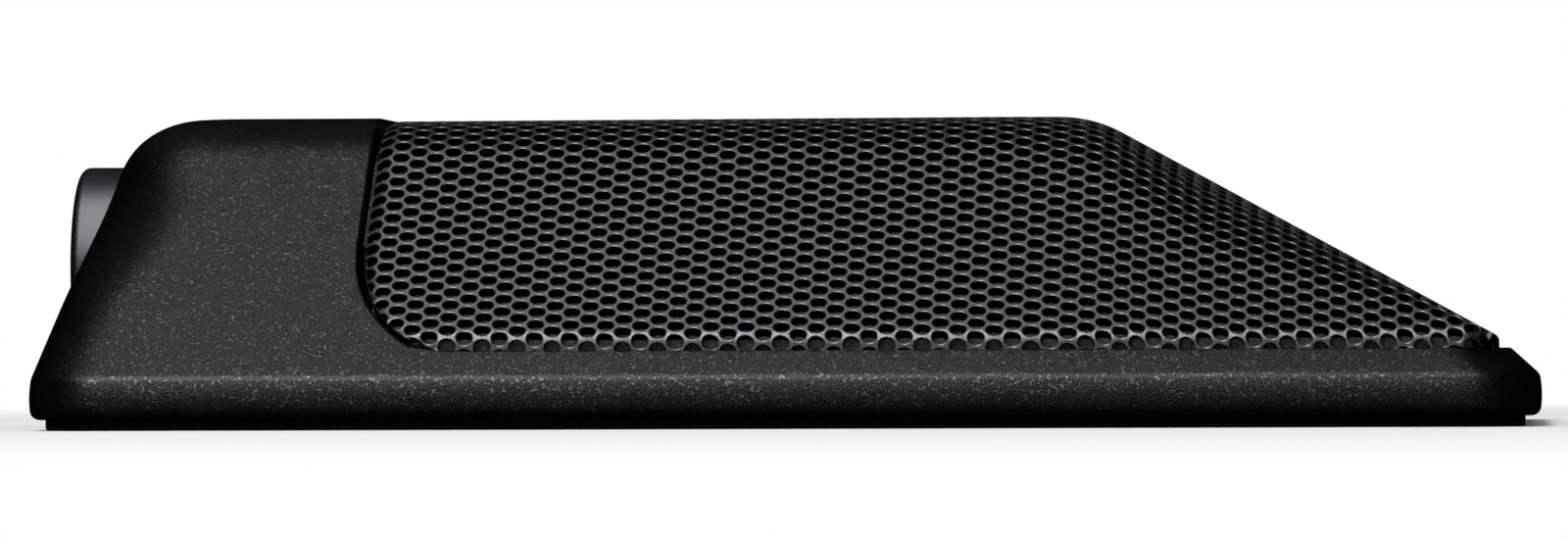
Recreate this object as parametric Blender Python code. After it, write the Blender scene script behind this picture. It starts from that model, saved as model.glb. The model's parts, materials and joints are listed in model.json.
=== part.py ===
"""Boundary microphone: a low die-cast housing with a formed perforated grille.

Metres, +Z up. The underside of the pad is z = 0, the connector is at -X and the grille's nose at +X.
The housing is a stack of level outlines, cut by an opening that is seen from the side. The grille is a
sheet whose cross-sections follow one side profile, from the seam at the hood to the lip at the nose.
"""
import math

import bpy
import bmesh
from mathutils import Vector

MM = 0.001

# Overall form
SHELL_LENGTH = 147.0 * MM
SHELL_WIDTH = 101.0 * MM
SHELL_TAPER = math.radians(1.4)
TOP_HEIGHT = 31.0 * MM
TOP_WIDTH = 38.6 * MM

# Rim, ledge and slopes of the housing
CREASE_HEIGHT = 5.1 * MM
CREASE_ROUND = 0.3 * MM
LEDGE_HEIGHT = 7.6 * MM
HOOD_LENGTH = 31.2 * MM
REAR_SLOPE = math.radians(75.8)
NOSE_SLOPE = math.radians(42.2)
SIDE_TOP_RADIUS = 16.5 * MM
REAR_TOP_RADIUS = 8.0 * MM
BAND_CORNER_RADIUS = 7.0 * MM
HIP_RADIUS = 10.0 * MM
CROWN_CORNER_RADIUS = 6.0 * MM
BAND_BULGE = 0.2 * MM
HIP_RISE_SHARES = (0.25, 0.65)
BOTTOM_EDGE_RADIUS = 0.8 * MM
APERTURE_CORNER_RADIUS = 10.0 * MM

# Walls of the housing
WALL = 2.2 * MM
RIM_WALL = 7.0 * MM
NOSE_WALL = 7.5 * MM

# Clearances: between seated pieces, and the open seam between hood and grille
GAP = 0.3 * MM
SEAM = 0.8 * MM
OVERRUN = 12.0 * MM
SEAM_WELD = 0.01 * MM

# Grille sheet
SHEET = 1.0 * MM
GRILLE_TOP_DROP = 0.35 * MM
GRILLE_RISE = math.radians(0.2)
GRILLE_SLOPE = math.radians(28.7)
LIP_SETBACK = 4.1 * MM
LIP_HEIGHT = 1.1 * MM
SKIRT_HEIGHT = 1.5 * MM
SKIRT_INSET = 0.35 * MM
RIDGE_RADIUS = 13.0 * MM
HIP_LINE_RADIUS = 40.0 * MM
SKIRT_RADIUS = 1.2 * MM
LIP_RADIUS = 1.2 * MM
LIP_CORNER_RADIUS = 4.0 * MM

# Perforation, drawn coarser than the punched holes of the real sheet
HOLE_PITCH = 9.0 * MM
HOLE_WEB = 2.0 * MM
PLAIN_BORDER = 3.0 * MM
HOLE_SIDES = 8
BORDER_SHARES = (0.0, 0.45, 0.8, 1.0)

# Cloth behind the holes, and the rib behind the seam
LINER = 0.6 * MM
LINER_CLEARANCE = 0.6 * MM
LINER_COLUMNS = 14
LINER_ROWS = 18
RIB_WIDTH = 3.4 * MM
RIB_THICKNESS = 1.8 * MM
RIB_ROWS = 26
RIB_CLEARANCE = 0.55 * MM

# Base pad and base plate
PAD = 0.75 * MM
PAD_INSET = 1.6 * MM
PLATE = 1.2 * MM
PLATE_INSET = 3.2 * MM

# Base screws, countersunk
SCREW_HEAD_RADIUS = 1.6 * MM
SCREW_HEAD = 0.8 * MM
SCREW_RADIUS = 0.9 * MM
SCREW_LENGTH = 4.6 * MM
SCREW_END_INSET = 15.0 * MM
SCREW_SLOT = 0.5 * MM
SCREW_COLUMNS = 3

# Connector
COLLAR_HEIGHT = 16.1 * MM
COLLAR_RADIUS = 10.3 * MM
COLLAR_WALL = 2.0 * MM
COLLAR_PROUD = 0.9 * MM
COLLAR_LENGTH = 16.6 * MM
COLLAR_EDGE = 0.9 * MM
COLLAR_CHAMFER = 0.4 * MM
BOSS_WALL = 1.8 * MM
BOSS_DEPTH = 11.2 * MM
NUT_LENGTH = 3.0 * MM
NUT_WALL = 1.3 * MM
NUT_SLOT = 1.4 * MM
NUT_SLOTS = 4
SOCKET_DEPTH = 11.0 * MM
INSERT_LENGTH = 5.0 * MM
PIN_CIRCLE = 4.3 * MM
PIN_RADIUS = 1.2 * MM
PIN_SHOWN = 8.6 * MM
PIN_TAIL = 2.0 * MM
PIN_TIP = 0.5 * MM
PIN_COUNT = 3

# Circuit board, its standoffs and screws
BOARD_SETBACK = 24.0 * MM
BOARD_LENGTH = 40.0 * MM
BOARD_WIDTH = 46.0 * MM
BOARD = 1.6 * MM
STANDOFF = 4.6 * MM
STANDOFF_RADIUS = 2.6 * MM
STANDOFF_EDGE = 3.6 * MM
BOARD_SCREW_RADIUS = 0.9 * MM
BOARD_SCREW_HEAD_RADIUS = 2.1 * MM
BOARD_SCREW_HEAD = 1.2 * MM
BOARD_SCREW_GRIP = 2.4 * MM

# Parts on the board
TRANSFORMER_LENGTH = 14.0 * MM
TRANSFORMER_WIDTH = 16.0 * MM
TRANSFORMER_HEIGHT = 10.0 * MM
TRANSFORMER_ROUND = 1.0 * MM
CAPACITOR_RADIUS = 2.5 * MM
CAPACITOR_HEIGHT = 7.0 * MM
CAPACITOR_EDGE = 0.4 * MM
CAPACITOR_PITCH = 6.6 * MM
CAPACITOR_COUNT = 3
CHIP_LENGTH = 9.0 * MM
CHIP_WIDTH = 4.0 * MM
CHIP_HEIGHT = 1.5 * MM
TRANSFORMER_PLACE_SHARES = (0.30, 0.20)
CAPACITOR_PLACE_SHARES = (0.72, 0.22)
CHIP_PLACE_SHARES = (0.62, -0.22)
CAPSULE_PAD_SHARES = (0.93, 0.0)

# Capsule, its rubber ring and its cup
CAPSULE_PLACE_SHARE = 0.5
CAPSULE_RADIUS = 9.6 * MM
CAPSULE_HEIGHT = 8.0 * MM
CAPSULE_EDGE = 0.5 * MM
CAP = 1.0 * MM
CAP_RIM = 1.6 * MM
CAP_SLOT = 1.2 * MM
CAP_SLOTS = 3
RING_WIDTH = 2.6 * MM
RING_HEIGHT = 4.4 * MM
CUP_WALL = 1.2 * MM
CUP_FLOOR = 1.0 * MM
CUP_HEIGHT = 5.2 * MM

# Wires
WIRE_RADIUS = 0.55 * MM
WIRE_RISE = 3.2 * MM
WIRE_PITCH = 3.4 * MM
WIRE_POINTS = 10

# Counts of facets
CORNER_STEPS = 6
WALL_LEVELS = 3
ROUND_LEVELS = 7
BORE_STEPS = 8
TURN = 28
SMALL_TURN = 12
ARC_ROOM_SHARE = 0.47
SHARP_ANGLE = math.radians(32)

# Places that follow from the sizes above
REAR = -(SHELL_LENGTH - COLLAR_PROUD) / 2
NOSE = REAR + SHELL_LENGTH
APERTURE = REAR + HOOD_LENGTH
SHELL_BOTTOM = PAD + GAP
PLATE_TOP = SHELL_BOTTOM + PLATE
RECESS_TOP = PLATE_TOP + GAP
CORNER_INSET = (SHELL_WIDTH - TOP_WIDTH) / 2
SIDE_SLOPE = math.atan2(TOP_HEIGHT - CREASE_HEIGHT, CORNER_INSET)
LEDGE_INSET = (LEDGE_HEIGHT - CREASE_HEIGHT) / math.tan(SIDE_SLOPE)
GRILLE_REAR = APERTURE + SEAM
GRILLE_NOSE = NOSE - LIP_SETBACK
GRILLE_BOTTOM = LEDGE_HEIGHT + GAP
GRILLE_TOP = TOP_HEIGHT - GRILLE_TOP_DROP
COLLAR_MOUTH = REAR - COLLAR_PROUD
COLLAR_BORE = COLLAR_RADIUS - COLLAR_WALL
BOSS_RADIUS = COLLAR_RADIUS + GAP + BOSS_WALL
NUT_RADIUS = COLLAR_RADIUS + GAP + NUT_WALL
NUT_REAR = REAR + BOSS_DEPTH + GAP
INSERT_FACE = COLLAR_MOUTH + SOCKET_DEPTH
BOARD_REAR = REAR + BOARD_SETBACK
STANDOFF_BOTTOM = PLATE_TOP + GAP
BOARD_BOTTOM = STANDOFF_BOTTOM + STANDOFF + GAP
BOARD_TOP = BOARD_BOTTOM + BOARD
BOARD_FRONT = BOARD_REAR + BOARD_LENGTH
CAPSULE_X = BOARD_FRONT + (NOSE - NOSE_WALL - BOARD_FRONT) * CAPSULE_PLACE_SHARE
RING_RADIUS = CAPSULE_RADIUS + GAP + RING_WIDTH
CUP_BORE = RING_RADIUS + GAP
CUP_BOTTOM = PLATE_TOP + GAP
CUP_SEAT = CUP_BOTTOM + CUP_FLOOR + GAP


# Materials

def linear(hex_colour):
    """An sRGB hex colour as linear RGBA."""
    values = []
    for place in (0, 2, 4):
        share = int(hex_colour[place:place + 2], 16) / 255
        values.append(share / 12.92 if share <= 0.04045 else ((share + 0.055) / 1.055) ** 2.4)
    return (*values, 1.0)


def material(name, hex_colour, roughness, metallic=0.0):
    """A plain Principled material."""
    found = bpy.data.materials.get(name)
    if found:
        return found
    made = bpy.data.materials.new(name)
    made.use_nodes = True
    shader = made.node_tree.nodes["Principled BSDF"]
    shader.inputs["Base Color"].default_value = linear(hex_colour)
    shader.inputs["Roughness"].default_value = roughness
    shader.inputs["Metallic"].default_value = metallic
    made.diffuse_color = linear(hex_colour)
    return made


# Small modelling helpers

def add_object(name, mesh_builder, surface=None):
    """Put a bmesh into the scene as a named, smooth shaded object."""
    bmesh.ops.recalc_face_normals(mesh_builder, faces=mesh_builder.faces)
    mesh = bpy.data.meshes.new(name)
    mesh_builder.to_mesh(mesh)
    mesh_builder.free()
    mesh.shade_smooth()
    mesh.set_sharp_from_angle(angle=SHARP_ANGLE)
    made = bpy.data.objects.new(name, mesh)
    bpy.context.scene.collection.objects.link(made)
    if surface:
        mesh.materials.append(surface)
    return made


def cut(target, cutter, operation="DIFFERENCE"):
    """Cut one object with another; the cutter stays as a wire guide."""
    cutter.hide_render = True
    cutter.display_type = "WIRE"
    change = target.modifiers.new(cutter.name, "BOOLEAN")
    change.operation = operation
    change.object = cutter
    change.solver = "EXACT"


def loft(rings):
    """A closed solid through rings of equal length, with flat ends."""
    work = bmesh.new()
    made = [[work.verts.new(point) for point in ring] for ring in rings]
    for lower, upper in zip(made, made[1:]):
        for k, vert in enumerate(lower):
            after = (k + 1) % len(lower)
            work.faces.new((vert, lower[after], upper[after], upper[k]))
    work.faces.new(list(reversed(made[0])))
    work.faces.new(made[-1])
    return work


def turned(profile, steps=TURN):
    """A solid turned about +Z from (radius, height) points, bottom to top; radius zero closes an end."""
    work = bmesh.new()
    rings = []
    for radius, height in profile:
        if radius == 0:
            rings.append([work.verts.new((0, 0, height))])
            continue
        angles = [2 * math.pi * k / steps for k in range(steps)]
        rings.append([work.verts.new((radius * math.cos(a), radius * math.sin(a), height)) for a in angles])
    closed = len(rings[0]) > 1 and len(rings[-1]) > 1
    pairs = list(zip(rings, rings[1:])) + ([(rings[-1], rings[0])] if closed else [])
    for lower, upper in pairs:
        for k in range(steps):
            after = (k + 1) % steps
            corners = (lower[k % len(lower)], lower[after % len(lower)],
                       upper[after % len(upper)], upper[k % len(upper)])
            work.faces.new(list(dict.fromkeys(corners)))
    return work


def rod(radius, bottom, top, steps=TURN):
    """A plain round bar along Z."""
    return turned([(0, bottom), (radius, bottom), (radius, top), (0, top)], steps)


def tube(inner, outer, bottom, top, steps=TURN):
    """A plain round sleeve along Z."""
    return turned([(outer, bottom), (outer, top), (inner, top), (inner, bottom)], steps)


def box(size, centre):
    """A box of the given size about the given centre."""
    work = bmesh.new()
    bmesh.ops.create_cube(work, size=1)
    bmesh.ops.scale(work, vec=Vector(size), verts=work.verts)
    bmesh.ops.translate(work, vec=Vector(centre), verts=work.verts)
    return work


def place(thing, location, rotation=(0, 0, 0)):
    """Set an object's place and turn."""
    thing.location = location
    thing.rotation_euler = rotation
    return thing


# Paths of straight runs and arcs

def rounded_path(corners, radii):
    """Straight runs through 2-D corners, joined by arcs that give way where a run is short."""
    points = [Vector(corner) for corner in corners]
    runs = []
    start = points[0]
    for k, radius in enumerate(radii, 1):
        coming = points[k] - points[k - 1]
        going = points[k + 1] - points[k]
        if coming.length * going.length == 0:
            continue
        turn = coming.angle(going)
        if turn == 0 or radius <= 0:
            continue
        room = min(coming.length, going.length) * ARC_ROOM_SHARE
        tangent = min(radius * math.tan(turn / 2), room)
        side = 1 if coming.cross(going) > 0 else -1
        first = points[k] - coming.normalized() * tangent
        across = Vector((-coming.y, coming.x)).normalized() * side * tangent / math.tan(turn / 2)
        runs.append((start, first))
        runs.append((first, first + across, side * turn))
        start = points[k] + going.normalized() * tangent
    runs.append((start, points[-1]))
    return runs


def run_length(run):
    """Length of a straight run or of an arc."""
    if len(run) == 2:
        return (run[1] - run[0]).length
    return (run[0] - run[1]).length * abs(run[2])


def path_length(runs):
    """Length of a whole path."""
    return sum(run_length(run) for run in runs)


def path_point(runs, distance):
    """The point at a distance along a path."""
    for run in runs:
        length = run_length(run)
        if distance <= length or run is runs[-1]:
            share = min(distance / length, 1) if length > 0 else 0
            if len(run) == 2:
                return run[0].lerp(run[1], share)
            arm = run[0] - run[1]
            angle = run[2] * share
            turned_arm = Vector((arm.x * math.cos(angle) - arm.y * math.sin(angle),
                                 arm.x * math.sin(angle) + arm.y * math.cos(angle)))
            return run[1] + turned_arm
        distance -= length


# Outer form of the housing

def half_width(x):
    """Half the shell's width at x; the plan narrows a little towards the nose."""
    return SHELL_WIDTH / 2 - (x - REAR) * math.tan(SHELL_TAPER)


def slope_inset(height, slope, radius, top, start):
    """How far a sloping wall stands in from the band, with a round turn into the flat top."""
    corner = start + (top - CREASE_HEIGHT) / math.tan(slope)
    tangent = radius * math.tan(slope / 2)
    if height < top - tangent * math.sin(slope):
        return start + (height - CREASE_HEIGHT) / math.tan(slope)
    rise = max(height - top + radius, 0)
    return corner + tangent - math.sqrt(max(radius ** 2 - rise ** 2, 0))


def band_inset(height):
    """Inset of the upright band: a slight bulge, and a round lower edge."""
    middle = (SHELL_BOTTOM + CREASE_HEIGHT) / 2
    share = (height - middle) / (CREASE_HEIGHT - middle)
    inset = BAND_BULGE * share ** 2
    below = SHELL_BOTTOM + BOTTOM_EDGE_RADIUS - height
    if below > 0:
        inset += BOTTOM_EDGE_RADIUS - math.sqrt(max(BOTTOM_EDGE_RADIUS ** 2 - below ** 2, 0))
    return inset


def smooth_share(value, low, high):
    """0 below low, 1 above high, with an even rise between."""
    share = min(max((value - low) / (high - low), 0), 1)
    return share * share * (3 - 2 * share)


def outline(height, rear, nose, side_inset, rear_radius, nose_radius):
    """A level outline with round corners, anticlockwise from the rear right."""
    corners = ((rear + rear_radius, -1, rear_radius, math.pi), (nose - nose_radius, -1, nose_radius, 1.5 * math.pi),
               (nose - nose_radius, 1, nose_radius, 0), (rear + rear_radius, 1, rear_radius, 0.5 * math.pi))
    points = []
    for centre_x, side, radius, start in corners:
        radius = min(radius, half_width(centre_x) - side_inset)
        centre_y = side * (half_width(centre_x) - side_inset - radius)
        for k in range(CORNER_STEPS + 1):
            angle = start + math.pi / 2 * k / CORNER_STEPS
            points.append((centre_x + radius * math.cos(angle), centre_y + radius * math.sin(angle), height))
    return points


def shell_outline(height):
    """The housing's outer outline at a height."""
    if height <= CREASE_HEIGHT:
        inset = band_inset(height)
        radius = BAND_CORNER_RADIUS - inset
        return outline(height, REAR + inset, NOSE - inset, inset, radius, radius)
    side = slope_inset(height, SIDE_SLOPE, SIDE_TOP_RADIUS, TOP_HEIGHT, BAND_BULGE)
    rear = slope_inset(height, REAR_SLOPE, REAR_TOP_RADIUS, TOP_HEIGHT, BAND_BULGE)
    nose = BAND_BULGE + (height - CREASE_HEIGHT) / math.tan(NOSE_SLOPE)
    low, high = [CREASE_HEIGHT + (TOP_HEIGHT - CREASE_HEIGHT) * share for share in HIP_RISE_SHARES]
    hip = smooth_share(height, low, high)
    crown = smooth_share(height, TOP_HEIGHT - SIDE_TOP_RADIUS / 2, TOP_HEIGHT)
    radius = BAND_CORNER_RADIUS + (HIP_RADIUS - BAND_CORNER_RADIUS) * hip
    radius += (CROWN_CORNER_RADIUS - HIP_RADIUS) * crown
    return outline(height, REAR + rear, NOSE - nose, side, radius, BAND_CORNER_RADIUS)


def shell_levels():
    """Heights of the outer outlines, close together in the round parts."""
    band = [SHELL_BOTTOM + BOTTOM_EDGE_RADIUS * (1 - math.cos(math.pi / 2 * k / 3)) for k in range(4)]
    band += [(SHELL_BOTTOM + CREASE_HEIGHT) / 2, CREASE_HEIGHT - CREASE_ROUND, CREASE_HEIGHT]
    first = TOP_HEIGHT - REAR_TOP_RADIUS * (1 - math.cos(REAR_SLOPE))
    wall = [CREASE_HEIGHT + (first - CREASE_HEIGHT) * k / WALL_LEVELS for k in range(1, WALL_LEVELS + 1)]
    rounds = []
    for k in range(1, ROUND_LEVELS + 1):
        angle = REAR_SLOPE * (1 - k / ROUND_LEVELS)
        rounds.append(TOP_HEIGHT - REAR_TOP_RADIUS * (1 - math.cos(angle)))
    return band + wall + rounds


def cavity_outline(height, top):
    """The housing's inner outline: thick rim below, even wall in the hood."""
    side_wall = WALL / math.sin(SIDE_SLOPE)
    rear_wall = WALL / math.sin(REAR_SLOPE)
    side = slope_inset(height, SIDE_SLOPE, SIDE_TOP_RADIUS - WALL, top, side_wall)
    rear = slope_inset(height, REAR_SLOPE, REAR_TOP_RADIUS - WALL, top, rear_wall)
    rear = max(rear, RIM_WALL * (1 - smooth_share(height, CREASE_HEIGHT, LEDGE_HEIGHT)))
    radius = HIP_RADIUS - WALL
    return outline(height, REAR + rear, NOSE - NOSE_WALL, max(side, RIM_WALL), radius, radius)


def aperture_path(start, bottom, radius):
    """Side outline of the grille's opening: down at the seam, round, then level to the nose."""
    high = TOP_HEIGHT + OVERRUN
    return rounded_path([(start, high), (start, bottom), (NOSE + OVERRUN, bottom)], [radius])


def extruded_y(outline_points, half_depth):
    """A solid from an X-Z outline, carried across the part."""
    rings = [[(x, side * half_depth, z) for x, z in outline_points] for side in (-1, 1)]
    return loft(rings)


# Base, pad and screws

def screw_places():
    """Places of the base screws, in the rim at both sides."""
    inset = (PLATE_INSET + RIM_WALL) / 2
    first = REAR + SCREW_END_INSET
    step = (SHELL_LENGTH - 2 * SCREW_END_INSET) / (SCREW_COLUMNS - 1)
    places = []
    for k in range(SCREW_COLUMNS):
        x = first + step * k
        for side in (-1, 1):
            places.append((x, side * (half_width(x) - inset)))
    return places


def screw_profile(grow):
    """Turned outline of a countersunk screw, head down; grow widens it for the hole."""
    end = SCREW_LENGTH + grow
    return [(0, -grow), (SCREW_HEAD_RADIUS + grow, -grow), (SCREW_HEAD_RADIUS + grow, 0),
            (SCREW_RADIUS + grow, SCREW_HEAD + grow), (SCREW_RADIUS + grow, end), (0, end)]


def screw_cutter(name):
    """All base screws' holes in one guide."""
    work = bmesh.new()
    for x, y in screw_places():
        one = turned(screw_profile(GAP), SMALL_TURN)
        bmesh.ops.translate(one, vec=Vector((x, y, SHELL_BOTTOM)), verts=one.verts)
        mesh = bpy.data.meshes.new(name)
        one.to_mesh(mesh)
        one.free()
        work.from_mesh(mesh)
    return add_object(name, work)


def nut_room(name):
    """Guide for the room round the collar's nut, open to the front."""
    room = add_object(name, rod(NUT_RADIUS + GAP, -GAP / 2, NUT_LENGTH + GAP))
    return place(room, (NUT_REAR, 0, COLLAR_HEIGHT), (0, math.pi / 2, 0))


def build_base(plate_steel, rubber, screw_steel):
    """Pad, plate and countersunk screws."""
    levels = (0, PAD)
    radius = BAND_CORNER_RADIUS - PAD_INSET
    pad = add_object("base_pad", loft([outline(z, REAR + PAD_INSET, NOSE - PAD_INSET, PAD_INSET, radius, radius)
                                       for z in levels]), rubber)
    radius = BAND_CORNER_RADIUS - PLATE_INSET
    plate = add_object("base_plate", loft([outline(z, REAR + PLATE_INSET, NOSE - PLATE_INSET, PLATE_INSET,
                                                   radius, radius) for z in (SHELL_BOTTOM, PLATE_TOP)]), plate_steel)
    holes = bmesh.new()
    for x, y in screw_places():
        one = rod(SCREW_HEAD_RADIUS + GAP, -OVERRUN, PAD + OVERRUN, SMALL_TURN)
        bmesh.ops.translate(one, vec=Vector((x, y, 0)), verts=one.verts)
        mesh = bpy.data.meshes.new("pad_hole")
        one.to_mesh(mesh)
        one.free()
        holes.from_mesh(mesh)
    cut(pad, add_object("pad_hole_cutter", holes))
    cut(plate, screw_cutter("plate_hole_cutter"))
    cut(plate, nut_room("plate_nut_room"))
    for k, (x, y) in enumerate(screw_places(), 1):
        screw = add_object("base_screw_%d" % k, turned(screw_profile(0), SMALL_TURN), screw_steel)
        place(screw, (x, y, SHELL_BOTTOM))
        slot = add_object("base_screw_slot_%d" % k,
                          box((2 * OVERRUN, SCREW_SLOT, SCREW_HEAD), (0, 0, 0)))
        place(slot, (x, y, SHELL_BOTTOM), (0, 0, math.pi * k / SCREW_COLUMNS))
        cut(screw, slot)


# Housing

def build_housing(paint):
    """Die-cast shell: outer form less its cavity, the grille's opening, the bore and the recess below."""
    housing = add_object("housing", loft([shell_outline(z) for z in shell_levels()]), paint)
    top = TOP_HEIGHT - WALL
    first = top - (REAR_TOP_RADIUS - WALL) * (1 - math.cos(REAR_SLOPE))
    levels = [-OVERRUN, CREASE_HEIGHT, (CREASE_HEIGHT + LEDGE_HEIGHT) / 2, LEDGE_HEIGHT]
    levels += [LEDGE_HEIGHT + (first - LEDGE_HEIGHT) * k / WALL_LEVELS for k in range(1, WALL_LEVELS + 1)]
    for k in range(1, ROUND_LEVELS + 1):
        angle = REAR_SLOPE * (1 - k / ROUND_LEVELS)
        levels.append(top - (REAR_TOP_RADIUS - WALL) * (1 - math.cos(angle)))
    rings = []
    for z in levels:
        ring = cavity_outline(max(z, SHELL_BOTTOM), top)
        rings.append([(x, y, z) for x, y, _ in ring])
    cavity = add_object("cavity_cutter", loft(rings))
    boss = add_object("boss_guide", rod(BOSS_RADIUS, -OVERRUN, BOSS_DEPTH))
    place(boss, (REAR, 0, COLLAR_HEIGHT), (0, math.pi / 2, 0))
    cut(cavity, boss)
    cut(housing, cavity)
    runs = aperture_path(APERTURE, LEDGE_HEIGHT, APERTURE_CORNER_RADIUS)
    corner = [tuple(path_point(runs[1:2], run_length(runs[1]) * k / BORE_STEPS)) for k in range(BORE_STEPS + 1)]
    far = NOSE + OVERRUN
    high = TOP_HEIGHT + OVERRUN
    side = [(APERTURE, high)] + corner + [(far, LEDGE_HEIGHT), (far, high)]
    cut(housing, add_object("aperture_cutter", extruded_y(side, SHELL_WIDTH)))
    bore = add_object("bore_cutter", rod(COLLAR_RADIUS + GAP, -OVERRUN, BOSS_DEPTH + OVERRUN))
    place(bore, (REAR, 0, COLLAR_HEIGHT), (0, math.pi / 2, 0))
    cut(housing, bore)
    inset = PLATE_INSET - GAP
    radius = BAND_CORNER_RADIUS - inset
    recess = [outline(z, REAR + inset, NOSE - inset, inset, radius, radius) for z in (-OVERRUN, RECESS_TOP)]
    cut(housing, add_object("recess_cutter", loft(recess)))
    cut(housing, screw_cutter("housing_screw_cutter"))
    cut(housing, nut_room("housing_nut_room"))
    seams = housing.modifiers.new("close_seams", "WELD")
    seams.merge_threshold = SEAM_WELD
    return housing


# Grille, cloth and rib

def side_profile(depth):
    """Side view of the sheet at a depth under its outer face: top, ridge, slope and lip."""
    top = GRILLE_TOP - depth
    lip_x = GRILLE_NOSE - depth
    lip_z = LEDGE_HEIGHT + LIP_HEIGHT
    fall = math.tan(GRILLE_SLOPE)
    rise = math.tan(GRILLE_RISE)
    slope_at_nose = lip_z - depth / math.cos(GRILLE_SLOPE) + depth * fall
    ridge_x = (slope_at_nose + lip_x * fall - top + GRILLE_REAR * rise) / (fall + rise)
    ridge_z = top + (ridge_x - GRILLE_REAR) * rise
    corners = [(GRILLE_REAR, top), (ridge_x, ridge_z), (lip_x, slope_at_nose), (lip_x, GRILLE_BOTTOM)]
    return rounded_path(corners, [RIDGE_RADIUS - depth, max(LIP_RADIUS - depth, LIP_RADIUS / 4)])


def opening_floor(x):
    """Lowest height of the sheet at x: level, but rising round the opening's rear corner."""
    centre = APERTURE + APERTURE_CORNER_RADIUS
    if x >= centre:
        return GRILLE_BOTTOM
    reach = APERTURE_CORNER_RADIUS - SEAM
    back = min(centre - x, reach)
    return LEDGE_HEIGHT + APERTURE_CORNER_RADIUS - math.sqrt(reach ** 2 - back ** 2) \
        if reach > back else LEDGE_HEIGHT + APERTURE_CORNER_RADIUS


def cross_section(x, top, depth, floor):
    """Half cross-section of the sheet at x, from the middle line down to its lower edge."""
    skirt = half_width(x) - LEDGE_INSET - SKIRT_INSET - depth
    radius = LIP_CORNER_RADIUS - depth
    ahead = x - (GRILLE_NOSE - depth - radius)
    if ahead > 0:
        skirt -= radius - math.sqrt(max(radius ** 2 - ahead ** 2, 0))
    skirt_top = LEDGE_HEIGHT + SKIRT_HEIGHT
    crown = half_width(x) - CORNER_INSET
    fall = (TOP_HEIGHT - skirt_top) / (half_width(x) - LEDGE_INSET - SKIRT_INSET - crown)
    angle = math.atan(fall)
    edge = half_width(x) - LEDGE_INSET - SKIRT_INSET - depth / math.sin(angle)
    turn_top = skirt_top + (edge - skirt) * fall
    low = max(floor, min(turn_top, top))
    shoulder = min(edge - (top - skirt_top) / fall, skirt)
    foot = min(edge - (low - skirt_top) / fall, skirt)
    hip = smooth_share(x, GRILLE_NOSE - RIDGE_RADIUS * 4, GRILLE_NOSE - RIDGE_RADIUS * 2)
    round_top = SIDE_TOP_RADIUS + (HIP_LINE_RADIUS - SIDE_TOP_RADIUS) * hip - depth
    corners = [(0, top), (max(shoulder, 0), top), (foot, low), (foot, min(floor, low))]
    return rounded_path(corners, [round_top, max(SKIRT_RADIUS - depth, SKIRT_RADIUS / 4)])


def section_at(along, depth, profile, length):
    """Half cross-section of the sheet at a length along the outer side profile, and its x."""
    x, top = path_point(profile, along * path_length(profile) / length)
    return x, cross_section(x, top, depth, opening_floor(x))


def sheet_point(along, across, depth, profile, length, border):
    """A point of the sheet: along is a length on the side profile, across a signed share in blocks."""
    x, section = section_at(along, depth, profile, length)
    reach = path_length(section)
    side, block, share = across
    plain = min(border, reach / 2)
    distance = (reach - plain) * share if block == 0 else reach - plain + plain * share
    y, z = path_point(section, distance)
    return x, side * y, z


def sheet_grid(columns, rows_across, depth, border):
    """Grid of points on the sheet at a depth; columns are lengths along the outer side profile."""
    profile = side_profile(depth)
    length = path_length(side_profile(0))
    return [[sheet_point(along, across, depth, profile, length, border) for across in rows_across]
            for along in columns]


def rows_with_border(count, shares):
    """Row stations from one lower edge over the top to the other: border strips, then even steps."""
    right = [(-1, 1, share) for share in reversed(shares[1:])]
    left = [(1, 1, share) for share in shares[1:]]
    middle = []
    for k in range(count + 1):
        share = 2 * k / count - 1
        middle.append((-1 if share < 0 else 1, 0, abs(share)))
    return right + middle + left


def zip_rings(work, outer, inner):
    """Fill between two closed loops about one middle with triangles, stepping by angle shares."""
    i, j = 0, 0
    while i < len(outer) or j < len(inner):
        step_outer = j >= len(inner) or (i < len(outer) and (i + 0.5) / len(outer) <= (j + 0.5) / len(inner))
        a, b = outer[i % len(outer)], inner[j % len(inner)]
        if step_outer:
            work.faces.new((a, outer[(i + 1) % len(outer)], b))
            i += 1
        else:
            work.faces.new((a, inner[(j + 1) % len(inner)], b))
            j += 1


def hole_stations(along, across, reach):
    """Stations of a round hole's corners on the sheet, turning from its cell's first corner to the next."""
    radius = (HOLE_PITCH - HOLE_WEB) / 2
    stations = []
    for k in range(HOLE_SIDES):
        angle = -math.pi * 3 / 4 - 2 * math.pi * k / HOLE_SIDES
        share = across + radius * math.sin(angle) / reach
        stations.append((along + radius * math.cos(angle), (-1 if share < 0 else 1, 0, abs(share))))
    return stations


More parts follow.
